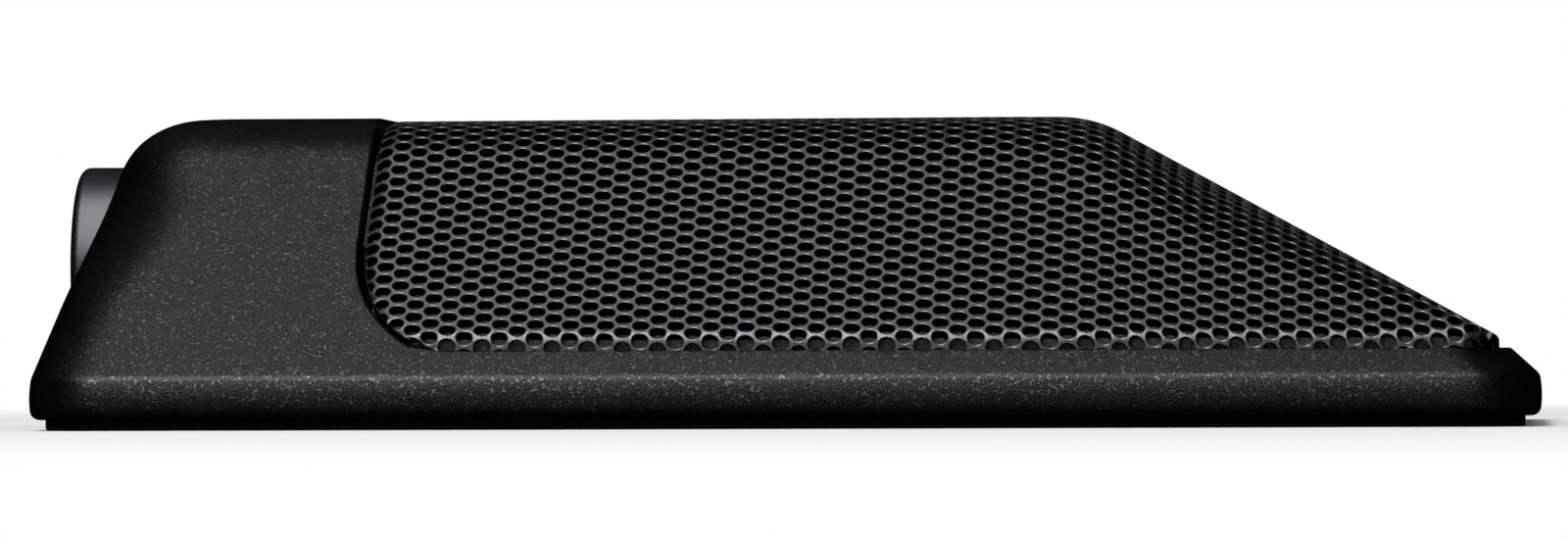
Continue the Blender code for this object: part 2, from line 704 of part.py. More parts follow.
def perforated_sheet(columns, rows, first_hole_row, hole_rows, first_hole_column, hole_columns):
    """A sheet with thickness from two grids; each cell of two half rows carries one hole."""
    work = bmesh.new()
    faces = [sheet_grid(columns, rows, depth, PLAIN_BORDER) for depth in (0, SHEET)]
    grids = [[[work.verts.new(point) for point in column] for column in grid] for grid in faces]
    profiles = [side_profile(depth) for depth in (0, SHEET)]
    length = path_length(profiles[0])
    last_hole_row = first_hole_row + 2 * hole_rows
    for i in range(len(columns) - 1):
        holed = first_hole_column <= i < first_hole_column + hole_columns
        middle = (columns[i] + columns[i + 1]) / 2
        reach = path_length(section_at(middle, 0, profiles[0], length)[1]) - PLAIN_BORDER
        k = 0
        shift = (i - first_hole_column) % 2
        while k < len(rows) - 1:
            begins = k >= first_hole_row + shift and (k - first_hole_row - shift) % 2 == 0
            if holed and begins and k + 2 <= last_hole_row:
                loops = []
                side, _, share = rows[k + 1]
                stations = hole_stations(middle, side * share, reach)
                for grid, depth, profile in zip(grids, (0, SHEET), profiles):
                    near, far = grid[i], grid[i + 1]
                    ring = [near[k], near[k + 1], near[k + 2], far[k + 2], far[k + 1], far[k]]
                    loop = [work.verts.new(sheet_point(*station, depth, profile, length, PLAIN_BORDER))
                            for station in stations]
                    zip_rings(work, ring, loop)
                    loops.append(loop)
                for n, vert in enumerate(loops[0]):
                    after = (n + 1) % HOLE_SIDES
                    work.faces.new((vert, loops[0][after], loops[1][after], loops[1][n]))
                k += 2
            else:
                for grid in grids:
                    work.faces.new((grid[i][k], grid[i][k + 1], grid[i + 1][k + 1], grid[i + 1][k]))
                k += 1
    close_edges(work, grids)
    return work


def close_edges(work, grids):
    """Join the rims of two equal grids."""
    def rim(grid):
        last = len(grid[0]) - 1
        return ([column[0] for column in grid] + list(grid[-1][1:])
                + [column[last] for column in reversed(grid[:-1])] + list(reversed(grid[0][1:-1])))
    outer, inner = rim(grids[0]), rim(grids[1])
    for k, vert in enumerate(outer):
        after = (k + 1) % len(outer)
        work.faces.new((vert, outer[after], inner[after], inner[k]))


def grille_columns():
    """Stations along the side profile: hole columns, then plain strips at the lip."""
    length = path_length(side_profile(0))
    border = PLAIN_BORDER + LIP_HEIGHT
    count = max(round((length - border) / (HOLE_PITCH * math.sqrt(3) / 2)), 2)
    columns = [(length - border) * k / count for k in range(count + 1)]
    return columns + [length - border + border * share for share in BORDER_SHARES[1:]], count


def build_grille(steel):
    """Perforated sheet with its skirt and lip."""
    columns, hole_columns = grille_columns()
    profile = side_profile(0)
    x, top = path_point(profile, path_length(profile) / 2)
    reach = path_length(cross_section(x, top, 0, GRILLE_BOTTOM))
    hole_rows = max(round(2 * (reach - PLAIN_BORDER) / HOLE_PITCH), 2)
    rows = rows_with_border(2 * hole_rows, BORDER_SHARES)
    strips = len(BORDER_SHARES) - 1
    work = perforated_sheet(columns, rows, strips, hole_rows, 0, hole_columns)
    return add_object("grille", work, steel)


def plain_sheet(columns, rows, outer, inner):
    """A plain shell between two depths under the grille's outer face."""
    work = bmesh.new()
    grids = []
    for depth in (outer, inner):
        grid = sheet_grid(columns, rows, depth, PLAIN_BORDER)
        grids.append([[work.verts.new(point) for point in column] for column in grid])
    for grid in grids:
        for near, far in zip(grid, grid[1:]):
            for k in range(len(rows) - 1):
                work.faces.new((near[k], near[k + 1], far[k + 1], far[k]))
    close_edges(work, grids)
    return work


def build_liner(cloth):
    """Cloth close under the sheet, clear of the rib."""
    length = path_length(side_profile(0))
    start = RIB_WIDTH + 2 * GAP
    columns = [start + (length - start) * k / LINER_COLUMNS for k in range(LINER_COLUMNS)]
    columns += [length - LIP_HEIGHT, length]
    depth = SHEET + LINER_CLEARANCE
    rows = rows_with_border(LINER_ROWS, BORDER_SHARES)
    return add_object("grille_liner", plain_sheet(columns, rows, depth, depth + LINER), cloth)


def build_rib(paint):
    """Rib under the grille's rear edge that shuts the seam; it stops above the opening's round corners."""
    floor = LEDGE_HEIGHT + APERTURE_CORNER_RADIUS + GAP
    outer = SHEET + RIB_CLEARANCE
    start = APERTURE + GAP
    rings = []
    sections = []
    for x in (start, start + RIB_WIDTH):
        for depth in (outer, outer + RIB_THICKNESS):
            sections.append((x, cross_section(x, GRILLE_TOP - depth, depth, floor)))
    order = (0, 2, 3, 1)
    for k in range(RIB_ROWS + 1):
        share = 2 * k / RIB_ROWS - 1
        ring = []
        for n in order:
            x, section = sections[n]
            y, z = path_point(section, path_length(section) * abs(share))
            ring.append((x, math.copysign(y, share), z))
        rings.append(ring)
    return add_object("grille_frame", loft(rings), paint)


# Connector

def pin_places():
    """Centres of the contact pins in the connector's face, one of them lowest."""
    places = []
    for k in range(PIN_COUNT):
        angle = -math.pi / 2 + 2 * math.pi * k / PIN_COUNT
        places.append((PIN_CIRCLE * math.cos(angle), COLLAR_HEIGHT + PIN_CIRCLE * math.sin(angle)))
    return places


def build_connector(paint, plastic, gold, nut_steel):
    """Collar, insert, pins and nut; turned about Z and laid along X with +Z turned to +X."""
    lie = (0, math.pi / 2, 0)
    edge = [(COLLAR_RADIUS - COLLAR_EDGE * (1 - math.sin(math.pi / 2 * k / 4)),
             COLLAR_EDGE * (1 - math.cos(math.pi / 2 * k / 4))) for k in range(5)]
    bore = [(COLLAR_BORE, COLLAR_LENGTH), (COLLAR_BORE, COLLAR_CHAMFER), (COLLAR_BORE + COLLAR_CHAMFER, 0)]
    collar = add_object("connector_collar", turned(edge + [(COLLAR_RADIUS, COLLAR_LENGTH)] + bore), paint)
    place(collar, (COLLAR_MOUTH, 0, COLLAR_HEIGHT), lie)
    insert = add_object("connector_insert", rod(COLLAR_BORE - GAP, 0, INSERT_LENGTH), plastic)
    place(insert, (INSERT_FACE, 0, COLLAR_HEIGHT), lie)
    nut = add_object("collar_nut", tube(COLLAR_RADIUS + GAP, NUT_RADIUS, 0, NUT_LENGTH), nut_steel)
    place(nut, (NUT_REAR, 0, COLLAR_HEIGHT), lie)
    for k in range(NUT_SLOTS // 2):
        slot = add_object("nut_slot_%d" % (k + 1), box((2 * NUT_SLOT, 4 * NUT_RADIUS, NUT_SLOT), (0, 0, 0)))
        place(slot, (NUT_REAR + NUT_LENGTH, 0, COLLAR_HEIGHT), (math.pi * 2 * k / NUT_SLOTS, 0, 0))
        cut(nut, slot)
    for k, (y, z) in enumerate(pin_places(), 1):
        length = PIN_SHOWN + INSERT_LENGTH + PIN_TAIL
        shape = [(0, 0), (PIN_RADIUS - PIN_TIP, 0), (PIN_RADIUS, PIN_TIP), (PIN_RADIUS, length), (0, length)]
        pin = add_object("pin_%d" % k, turned(shape, SMALL_TURN), gold)
        place(pin, (INSERT_FACE - PIN_SHOWN, y, z), lie)
        hole = add_object("pin_hole_%d" % k, rod(PIN_RADIUS + GAP, -OVERRUN, OVERRUN, SMALL_TURN))
        place(hole, (INSERT_FACE, y, z), lie)
        cut(insert, hole)


# Board and what it carries

def board_corner_places():
    """Centres of the standoffs."""
    x_values = (BOARD_REAR + STANDOFF_EDGE, BOARD_REAR + BOARD_LENGTH - STANDOFF_EDGE)
    y_value = BOARD_WIDTH / 2 - STANDOFF_EDGE
    return [(x, side * y_value) for x in x_values for side in (-1, 1)]


def on_board(shares):
    """A place on the board from shares of its length and width."""
    return BOARD_REAR + BOARD_LENGTH * shares[0], BOARD_WIDTH * shares[1]


def build_board(laminate, brass, screw_steel):
    """Circuit board on four standoffs."""
    middle = (BOARD_REAR + BOARD_LENGTH / 2, 0, BOARD_BOTTOM + BOARD / 2)
    board = add_object("circuit_board", box((BOARD_LENGTH, BOARD_WIDTH, BOARD), middle), laminate)
    grip = BOARD + BOARD_SCREW_GRIP
    for k, (x, y) in enumerate(board_corner_places(), 1):
        sleeve = tube(BOARD_SCREW_RADIUS + GAP, STANDOFF_RADIUS, 0, STANDOFF, SMALL_TURN)
        place(add_object("standoff_%d" % k, sleeve, brass), (x, y, STANDOFF_BOTTOM))
        shape = [(0, -grip), (BOARD_SCREW_RADIUS, -grip), (BOARD_SCREW_RADIUS, GAP), (BOARD_SCREW_HEAD_RADIUS, GAP),
                 (BOARD_SCREW_HEAD_RADIUS, BOARD_SCREW_HEAD), (0, BOARD_SCREW_HEAD)]
        place(add_object("board_screw_%d" % k, turned(shape, SMALL_TURN), screw_steel), (x, y, BOARD_TOP))
        hole = add_object("board_hole_%d" % k, rod(BOARD_SCREW_RADIUS + GAP, -OVERRUN, OVERRUN, SMALL_TURN))
        place(hole, (x, y, BOARD_TOP))
        cut(board, hole)


def build_board_parts(can, sleeve, black):
    """Output transformer, capacitors and chip on the board."""
    seat = BOARD_TOP + GAP
    x, y = on_board(TRANSFORMER_PLACE_SHARES)
    size = (TRANSFORMER_LENGTH, TRANSFORMER_WIDTH, TRANSFORMER_HEIGHT)
    block = add_object("output_transformer", box(size, (0, 0, TRANSFORMER_HEIGHT / 2)), can)
    place(block, (x, y, seat))
    rounding = block.modifiers.new("edges", "BEVEL")
    rounding.width = TRANSFORMER_ROUND
    rounding.segments = 2
    x, y = on_board(CAPACITOR_PLACE_SHARES)
    for k in range(CAPACITOR_COUNT):
        shape = [(0, 0), (CAPACITOR_RADIUS, 0), (CAPACITOR_RADIUS, CAPACITOR_HEIGHT - CAPACITOR_EDGE),
                 (CAPACITOR_RADIUS - CAPACITOR_EDGE, CAPACITOR_HEIGHT), (0, CAPACITOR_HEIGHT)]
        part = add_object("capacitor_%d" % (k + 1), turned(shape, SMALL_TURN), sleeve)
        place(part, (x, y + CAPACITOR_PITCH * (k - (CAPACITOR_COUNT - 1) / 2), seat))
    x, y = on_board(CHIP_PLACE_SHARES)
    chip = box((CHIP_LENGTH, CHIP_WIDTH, CHIP_HEIGHT), (0, 0, CHIP_HEIGHT / 2))
    place(add_object("amplifier_chip", chip, black), (x, y, seat))


# Capsule

def build_capsule(metal, dark_metal, rubber, plastic):
    """Capsule in a rubber ring, in a cup that stands on the base plate."""
    outer = CUP_BORE + CUP_WALL
    shape = [(0, 0), (outer, 0), (outer, CUP_HEIGHT), (CUP_BORE, CUP_HEIGHT), (CUP_BORE, CUP_FLOOR), (0, CUP_FLOOR)]
    place(add_object("capsule_cup", turned(shape), plastic), (CAPSULE_X, 0, CUP_BOTTOM))
    ring = tube(CAPSULE_RADIUS + GAP, RING_RADIUS, 0, RING_HEIGHT)
    place(add_object("capsule_ring", ring, rubber), (CAPSULE_X, 0, CUP_SEAT))
    shape = [(0, 0), (CAPSULE_RADIUS - CAPSULE_EDGE, 0), (CAPSULE_RADIUS, CAPSULE_EDGE),
             (CAPSULE_RADIUS, CAPSULE_HEIGHT), (0, CAPSULE_HEIGHT)]
    place(add_object("capsule_body", turned(shape), metal), (CAPSULE_X, 0, CUP_SEAT))
    seat = CUP_SEAT + CAPSULE_HEIGHT + GAP
    cap = add_object("capsule_cap", rod(CAPSULE_RADIUS - GAP, 0, CAP), dark_metal)
    place(cap, (CAPSULE_X, 0, seat))
    pitch = 2 * (CAPSULE_RADIUS - CAP_RIM) / CAP_SLOTS
    for k in range(CAP_SLOTS):
        offset = pitch * (k - (CAP_SLOTS - 1) / 2)
        long = 2 * math.sqrt((CAPSULE_RADIUS - CAP_RIM) ** 2 - offset ** 2) - CAP_RIM
        slot = add_object("cap_slot_%d" % (k + 1), box((CAP_SLOT, long, 2 * OVERRUN), (0, 0, 0)))
        place(slot, (CAPSULE_X + offset, 0, seat))
        cut(cap, slot)


# Wires

def wire(name, start, start_way, end, end_way, surface):
    """A round wire along a cubic curve; the ways are the handles at both ends."""
    points = [Vector(start), Vector(start) + Vector(start_way), Vector(end) + Vector(end_way), Vector(end)]
    data = bpy.data.curves.new(name, "CURVE")
    data.dimensions = "3D"
    data.bevel_depth = WIRE_RADIUS
    data.bevel_resolution = 1
    data.use_fill_caps = True
    spline = data.splines.new("POLY")
    spline.points.add(WIRE_POINTS - 1)
    for k in range(WIRE_POINTS):
        t = k / (WIRE_POINTS - 1)
        s = 1 - t
        point = points[0] * s ** 3 + points[1] * 3 * s * s * t + points[2] * 3 * s * t * t + points[3] * t ** 3
        spline.points[k].co = (*point, 1)
    data.materials.append(surface)
    made = bpy.data.objects.new(name, data)
    bpy.context.scene.collection.objects.link(made)
    return made


def build_wires(insulation):
    """Three wires from the pins to the board and two from the board to the capsule."""
    tail = INSERT_FACE + INSERT_LENGTH + PIN_TAIL + GAP
    seat = BOARD_TOP + GAP
    for k, (y, z) in enumerate(pin_places()):
        start = (tail, y, z)
        spread = math.copysign(WIRE_PITCH, y) if abs(y) > PIN_RADIUS else 0
        end = (BOARD_REAR + WIRE_RISE / 2, y + spread, seat)
        wire("signal_wire_%d" % (k + 1), start, (WIRE_RISE, 0, 0), end, (0, 0, WIRE_RISE), insulation)
    x, y = on_board(CAPSULE_PAD_SHARES)
    wall = CAPSULE_X - CUP_BORE - CUP_WALL
    top = CUP_SEAT + CAPSULE_HEIGHT + GAP + CAP + GAP
    for k, side in enumerate((-1, 1), 1):
        start = (x, side * WIRE_PITCH / 2, seat)
        end = (wall - GAP - WIRE_RADIUS, side * WIRE_PITCH / 2, CUP_BOTTOM + WIRE_RADIUS)
        wire("capsule_wire_%d" % k, start, (0, 0, top - seat), end, (0, 0, WIRE_RISE), insulation)


# The whole microphone

def main():
    """Build every piece."""
    for item in list(bpy.data.objects):
        bpy.data.objects.remove(item, do_unlink=True)
    paint = material("textured_black_paint", "2B2C2E", 0.48, 0.0)
    grille_steel = material("black_coated_steel", "3A3B3D", 0.38, 0.55)
    cloth = material("acoustic_cloth", "0B0B0C", 0.95)
    rubber = material("black_rubber", "101011", 0.8)
    zinc = material("zinc_plated_steel", "A9ABAF", 0.35, 1.0)
    black_steel = material("blackened_steel", "1D1E20", 0.4, 0.9)
    plastic = material("black_plastic", "151517", 0.45)
    gold = material("gold_plating", "D9B45A", 0.22, 1.0)
    laminate = material("board_laminate", "1F5A3A", 0.5)
    brass = material("brass", "B59A55", 0.3, 1.0)
    sleeve = material("capacitor_sleeve", "23304A", 0.4)
    capsule_metal = material("capsule_nickel", "B9B8B2", 0.3, 1.0)
    insulation = material("wire_insulation", "8E2A24", 0.5)
    build_housing(paint)
    build_grille(grille_steel)
    build_liner(cloth)
    build_rib(paint)
    build_base(zinc, rubber, black_steel)
    build_connector(paint, plastic, gold, zinc)
    build_board(laminate, brass, zinc)
    build_board_parts(black_steel, sleeve, plastic)
    build_capsule(capsule_metal, black_steel, rubber, plastic)
    build_wires(insulation)


main()
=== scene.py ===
"""Boundary microphone: finishes, the punched grille and the studio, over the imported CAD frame.

Lengths are in metres, +Z up. Housing, grille, cloth, pad and collar are surfaces worked out as whole numpy
arrays from the same sizes as the CAD part. The other solids show as packed, each with its own finish.
"""
import json
import math

import bmesh
import bpy
import numpy as np
from mathutils import Matrix, Vector

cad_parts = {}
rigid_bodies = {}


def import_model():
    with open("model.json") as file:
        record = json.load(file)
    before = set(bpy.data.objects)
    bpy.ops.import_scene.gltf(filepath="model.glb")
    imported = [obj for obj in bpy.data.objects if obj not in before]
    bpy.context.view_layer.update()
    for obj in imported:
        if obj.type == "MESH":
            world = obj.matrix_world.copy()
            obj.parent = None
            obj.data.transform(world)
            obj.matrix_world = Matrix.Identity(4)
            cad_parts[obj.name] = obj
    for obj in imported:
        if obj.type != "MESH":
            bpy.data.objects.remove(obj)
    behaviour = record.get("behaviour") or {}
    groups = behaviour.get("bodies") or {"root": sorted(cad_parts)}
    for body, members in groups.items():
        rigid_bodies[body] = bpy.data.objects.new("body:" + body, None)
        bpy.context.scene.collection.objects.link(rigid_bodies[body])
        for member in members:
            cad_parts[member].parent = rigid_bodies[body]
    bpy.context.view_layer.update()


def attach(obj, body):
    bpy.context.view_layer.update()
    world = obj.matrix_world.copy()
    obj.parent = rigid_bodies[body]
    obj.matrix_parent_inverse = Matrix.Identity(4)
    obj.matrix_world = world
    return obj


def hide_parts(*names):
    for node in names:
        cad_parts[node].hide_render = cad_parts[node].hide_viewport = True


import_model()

MM = 0.001

# Sizes shared with the CAD part
SHELL_LENGTH, SHELL_WIDTH, SHELL_TAPER = 147.0 * MM, 101.0 * MM, math.radians(1.4)
TOP_HEIGHT, TOP_WIDTH = 31.0 * MM, 38.6 * MM
CREASE_HEIGHT, LEDGE_HEIGHT, HOOD_LENGTH = 5.1 * MM, 7.6 * MM, 31.2 * MM
REAR_SLOPE, NOSE_SLOPE = math.radians(75.8), math.radians(42.2)
SIDE_TOP_RADIUS, REAR_TOP_RADIUS = 16.5 * MM, 8.0 * MM
BAND_CORNER_RADIUS, HIP_RADIUS, CROWN_CORNER_RADIUS = 7.0 * MM, 10.0 * MM, 6.0 * MM
BAND_BULGE, BOTTOM_EDGE_RADIUS, APERTURE_CORNER_RADIUS = 0.2 * MM, 0.8 * MM, 10.0 * MM
HIP_RISE_SHARES = (0.25, 0.65)
WALL, RIM_WALL, NOSE_WALL, GAP, SEAM = 2.2 * MM, 7.0 * MM, 7.5 * MM, 0.3 * MM, 0.8 * MM
SHEET, GRILLE_TOP_DROP = 1.0 * MM, 0.35 * MM
GRILLE_RISE, GRILLE_SLOPE = math.radians(0.2), math.radians(28.7)
LIP_SETBACK, LIP_HEIGHT, SKIRT_HEIGHT, SKIRT_INSET = 4.1 * MM, 1.1 * MM, 1.5 * MM, 0.35 * MM
RIDGE_RADIUS, HIP_LINE_RADIUS, SKIRT_RADIUS = 13.0 * MM, 40.0 * MM, 1.2 * MM
LIP_RADIUS, LIP_CORNER_RADIUS = 1.2 * MM, 4.0 * MM
PAD, PAD_INSET, PLATE, PLATE_INSET = 0.75 * MM, 1.6 * MM, 1.2 * MM, 3.2 * MM
COLLAR_HEIGHT, COLLAR_RADIUS, COLLAR_WALL = 16.1 * MM, 10.3 * MM, 2.0 * MM
COLLAR_PROUD, COLLAR_LENGTH, COLLAR_EDGE = 0.9 * MM, 16.6 * MM, 0.9 * MM
COLLAR_CHAMFER = 0.4 * MM
# Most of a run that the arc at one of its ends may use, and how many ridge radii before the nose the hip
# line's radius sets in and is full
ARC_ROOM_SHARE, HIP_SETS_IN, HIP_IS_FULL = 0.47, 4, 2

# The punched lattice of the real sheet: pitch, radius, and the width and depth of the hole's drawn rim
HOLE_PITCH, HOLE_RADIUS, PUNCH_ROUND, PUNCH_DEPTH = 1.97 * MM, 0.8 * MM, 0.1 * MM, 0.055 * MM
# Share of a column at which the first one starts, columns and rows that cover one half, corners of a hole
FIRST_COLUMN, LATTICE_COLUMNS, LATTICE_ROWS, HOLE_CORNERS = 0.35, 90, 34, 12
# The lattice is stretched where the sheet was drawn down, which sets in between these lengths
SLOPE_STRETCH, STRETCH_FROM, STRETCH_TO = 1.08, 52 * MM, 76 * MM

# Gap between resting pieces, and the roundings and edges that only the finished look has
SEAT = 0.03 * MM
CREASE_SOFT, HOOD_EDGE_ROUND, LEDGE_EDGE_ROUND, PAD_EDGE = 0.31 * MM, 0.3 * MM, 0.3 * MM, 0.3 * MM
ROLL_WIDTH, ROLL_DEPTH, CLOTH_THICKNESS = 1.3 * MM, 0.5 * MM, 0.22 * MM
ROLL_FADE_SHARES = (0.1, 0.5)

# Ways along the shell, and the points along side, corner and end of an outline that goes each way
TO_REAR, TO_NOSE = -1, 1
OUTLINE_STEPS = {TO_REAR: (26, 14, 22), TO_NOSE: (60, 12, 24)}
# How finely the other surfaces are divided
CORNER_ROWS, WALL_ROWS, TURN_ROWS, FLAT_ROWS, EDGE_ROWS = 13, 8, 21, 8, 6
BAND_ROWS, CREASE_ROWS, SLOPE_ROWS = 7, 9, 5
CLOTH_ROWS, CLOTH_COLUMNS, PAD_FLAT_ROWS = 50, 61, 4
COLLAR_STEPS, COLLAR_EDGE_STEPS, BORE_STEPS = 128, 10, 96
# Step either way for a surface's direction, and the distance at which two points count as one
NORMAL_STEP, SAME_POINT = 0.03 * MM, 0.01 * MM
# Below these a length or tangent, a product of two lengths, and a vector's length count as nothing
TINY, TINY_PRODUCT, TINY_VECTOR = 1e-9, 1e-14, 1e-12
# Half the length of the guide that cuts the collar's bore; degrees from which the shell's edges are sharp
BORE_REACH, SHELL_SHARP = 20 * MM, 30

REAR = -(SHELL_LENGTH - COLLAR_PROUD) / 2
NOSE = REAR + SHELL_LENGTH
APERTURE = REAR + HOOD_LENGTH
SHELL_BOTTOM = PAD + GAP
RECESS_TOP = SHELL_BOTTOM + PLATE + GAP
CORNER_INSET = (SHELL_WIDTH - TOP_WIDTH) / 2
SIDE_SLOPE = math.atan2(TOP_HEIGHT - CREASE_HEIGHT, CORNER_INSET)
LEDGE_INSET = (LEDGE_HEIGHT - CREASE_HEIGHT) / math.tan(SIDE_SLOPE)
GRILLE_REAR, GRILLE_NOSE = APERTURE + SEAM, NOSE - LIP_SETBACK
GRILLE_BOTTOM, GRILLE_TOP = LEDGE_HEIGHT + SEAT, TOP_HEIGHT - GRILLE_TOP_DROP
COLLAR_MOUTH = REAR - COLLAR_PROUD


# Meshes

def new_piece(name, points, triangles, sharp=32, material=None, clean=False):
    """A mesh object from point and triangle arrays, smooth except over sharp turns."""
    mesh = bpy.data.meshes.new(name)
    mesh.vertices.add(len(points))
    mesh.vertices.foreach_set("co", np.ascontiguousarray(points, np.float32).ravel())
    mesh.loops.add(triangles.size)
    mesh.loops.foreach_set("vertex_index", np.ascontiguousarray(triangles, np.int32).ravel())
    mesh.polygons.add(len(triangles))
    mesh.polygons.foreach_set("loop_start", np.arange(0, triangles.size, 3, dtype=np.int32))
    mesh.update(calc_edges=True)
    mesh.validate()
    if clean:
        outward(mesh)
    made = bpy.data.objects.new(name, mesh)
    bpy.context.scene.collection.objects.link(made)
    mesh.shade_smooth()
    mesh.set_sharp_from_angle(angle=math.radians(sharp))
    if material:
        mesh.materials.append(material)
    return made


def outward(mesh):
    """Turn all faces of a closed mesh outwards."""
    work = bmesh.new()
    work.from_mesh(mesh)
    bmesh.ops.recalc_face_normals(work, faces=work.faces)
    work.to_mesh(mesh)
    work.free()


def grid_triangles(rows, columns, wrap=False):
    """Two triangles for each cell of a grid of points; wrap joins the last column to the first."""
    ids = np.arange(rows * columns).reshape(rows, columns)
    after = np.roll(ids, -1, axis=1) if wrap else ids[:, 1:]
    here = ids if wrap else ids[:, :-1]
    a, b, c, d = here[:-1], after[:-1], after[1:], here[1:]
    return np.concatenate([np.stack([a, b, c], -1).reshape(-1, 3), np.stack([a, c, d], -1).reshape(-1, 3)])


def merge(parts):
    """Join (points, triangles) parts into one mesh; points on the same step of SAME_POINT become one."""
    points = np.concatenate([part[0].reshape(-1, 3) for part in parts])
    starts = np.cumsum([0] + [part[0].reshape(-1, 3).shape[0] for part in parts[:-1]])
    triangles = np.concatenate([part[1] + start for part, start in zip(parts, starts)])
    keys = np.round(points / SAME_POINT).astype(np.int64)
    _, first, inverse = np.unique(keys, axis=0, return_index=True, return_inverse=True)
    triangles = inverse.reshape(-1)[triangles]
    good = ((triangles[:, 0] != triangles[:, 1]) & (triangles[:, 1] != triangles[:, 2])
            & (triangles[:, 2] != triangles[:, 0]))
    return points[first], triangles[good]


def part_of(grid, wrap=False):
    """A grid of points with its triangles."""
    return grid, grid_triangles(grid.shape[0], grid.shape[1], wrap=wrap)


def unit(vectors):
    """Vectors brought to length one."""
    return vectors / np.maximum(np.linalg.norm(vectors, axis=-1, keepdims=True), TINY_VECTOR)


# Outer form of the housing

def half_width(x):
    """Half the shell's width: half of SHELL_WIDTH less the taper's tangent times the way from the rear."""
    return SHELL_WIDTH / 2 - (x - REAR) * math.tan(SHELL_TAPER)


def smooth_share(value, low, high):
    """0 below low, 1 above high, three squares less two cubes between."""
    share = np.clip((value - low) / (high - low), 0, 1)
    return share * share * (3 - 2 * share)


def soft_ramp(value, reach):
    """Zero below -reach, the value above reach, and the parabola that joins both between."""
    return np.where(value < -reach, 0, np.where(value > reach, value, (value + reach) ** 2 / (4 * reach)))


def band_inset(z, slope):
    """Inset of the band and of the slope over it: a slight parabola with a quarter circle at the lower edge,
    which runs on straight through the crease, where a soft ramp adds the slope's own lean."""
    middle = (SHELL_BOTTOM + CREASE_HEIGHT) / 2
    half, turn = CREASE_HEIGHT - middle, CREASE_HEIGHT - CREASE_SOFT
    share = np.clip((np.minimum(z, turn) - middle) / half, -1, 1)
    lean = BAND_BULGE * (1 - ((turn - middle) / half) ** 2) / CREASE_SOFT
    below = np.maximum(SHELL_BOTTOM + BOTTOM_EDGE_RADIUS - z, 0)
    lower = BOTTOM_EDGE_RADIUS - np.sqrt(np.maximum(BOTTOM_EDGE_RADIUS ** 2 - below ** 2, 0))
    over = lean * np.maximum(z - turn, 0)
    return (BAND_BULGE * share ** 2 + lower + over
            + soft_ramp(z - CREASE_HEIGHT, CREASE_SOFT) * (1 / math.tan(slope) - lean))


def slope_inset(z, slope, radius, top):
    """Inset of a whole wall: band, crease and slope, then a circle's turn into the flat top."""
    corner = BAND_BULGE + (top - CREASE_HEIGHT) / math.tan(slope)
    tangent = radius * math.tan(slope / 2)
    rise = np.clip(z - top + radius, 0, radius)
    turned = corner + tangent - np.sqrt(np.maximum(radius ** 2 - rise ** 2, 0))
    return np.where(z < top - tangent * math.sin(slope), band_inset(z, slope), turned)


def shell_sizes(z):
    """Rear, nose and side insets and the rear and nose corner radii of the outer outline at heights z. The
    radii go over from one to the next by smooth_share of the height."""
    low, high = [CREASE_HEIGHT + (TOP_HEIGHT - CREASE_HEIGHT) * share for share in HIP_RISE_SHARES]
    side = slope_inset(z, SIDE_SLOPE, SIDE_TOP_RADIUS, TOP_HEIGHT)
    rear = slope_inset(z, REAR_SLOPE, REAR_TOP_RADIUS, TOP_HEIGHT)
    nose = band_inset(z, NOSE_SLOPE)
    below = z < (SHELL_BOTTOM + CREASE_HEIGHT) / 2
    front_radius = BAND_CORNER_RADIUS - np.where(below, side, np.minimum(side, BAND_BULGE))
    radius = front_radius + (HIP_RADIUS - BAND_CORNER_RADIUS) * smooth_share(z, low, high)
    radius = radius + (CROWN_CORNER_RADIUS - HIP_RADIUS) * smooth_share(z, TOP_HEIGHT - SIDE_TOP_RADIUS / 2,
                                                                        TOP_HEIGHT)
    return rear, nose, side, radius, front_radius


def cavity_sizes(z):
    """The same for the inner outline of the hood, whose walls lie WALL behind the outer ones."""
    top = TOP_HEIGHT - WALL
    side = slope_inset(z, SIDE_SLOPE, SIDE_TOP_RADIUS - WALL, top) - BAND_BULGE + WALL / math.sin(SIDE_SLOPE)
    rear = slope_inset(z, REAR_SLOPE, REAR_TOP_RADIUS - WALL, top) - BAND_BULGE + WALL / math.sin(REAR_SLOPE)
    radius = np.full_like(z, HIP_RADIUS - WALL)
    return rear, np.full_like(z, NOSE_WALL), side, radius, radius


def outline(z, sizes, front, way):
    """Points of level outlines round one end of the shell, one row a height: from the opening's edge along a
    straight side, over a quarter circle, along the straight end and back likewise. TO_REAR runs from the
    right side to the left one, TO_NOSE from the left side to the right one."""
    rear, nose, side, rear_radius, nose_radius = [value[:, None] for value in sizes]
    inset, radius, end = (rear, rear_radius, REAR) if way == TO_REAR else (nose, nose_radius, NOSE)
    side_steps, arc_steps, end_steps = OUTLINE_STEPS[way]
    front = front[:, None]
    end = end - way * inset
    start = end - way * radius
    radius = np.minimum(radius, half_width(start) - side)
    centre = half_width(start) - side - radius
    share = np.linspace(0, 1, side_steps)[None, :]
    x_side = front + (start - front) * share
    y_side = half_width(x_side) - side
    angle = np.linspace(0, math.pi / 2, arc_steps)[None, 1:]
    x_arc = start + way * radius * np.sin(angle)
    y_arc = centre + radius * np.cos(angle)
    half = end_steps // 2
    x_end = np.repeat(end, half, axis=1)
    y_end = centre * (1 - np.arange(1, half + 1)[None, :] / half)
    x = np.concatenate([x_side, x_arc, x_end], axis=1)
    y = np.concatenate([y_side, y_arc, y_end], axis=1)
    x = np.concatenate([x, x[:, -2::-1]], axis=1)
    y = np.concatenate([way * y, -way * y[:, -2::-1]], axis=1)
    return np.stack([x, y, np.repeat(z[:, None], x.shape[1], axis=1)], axis=-1)


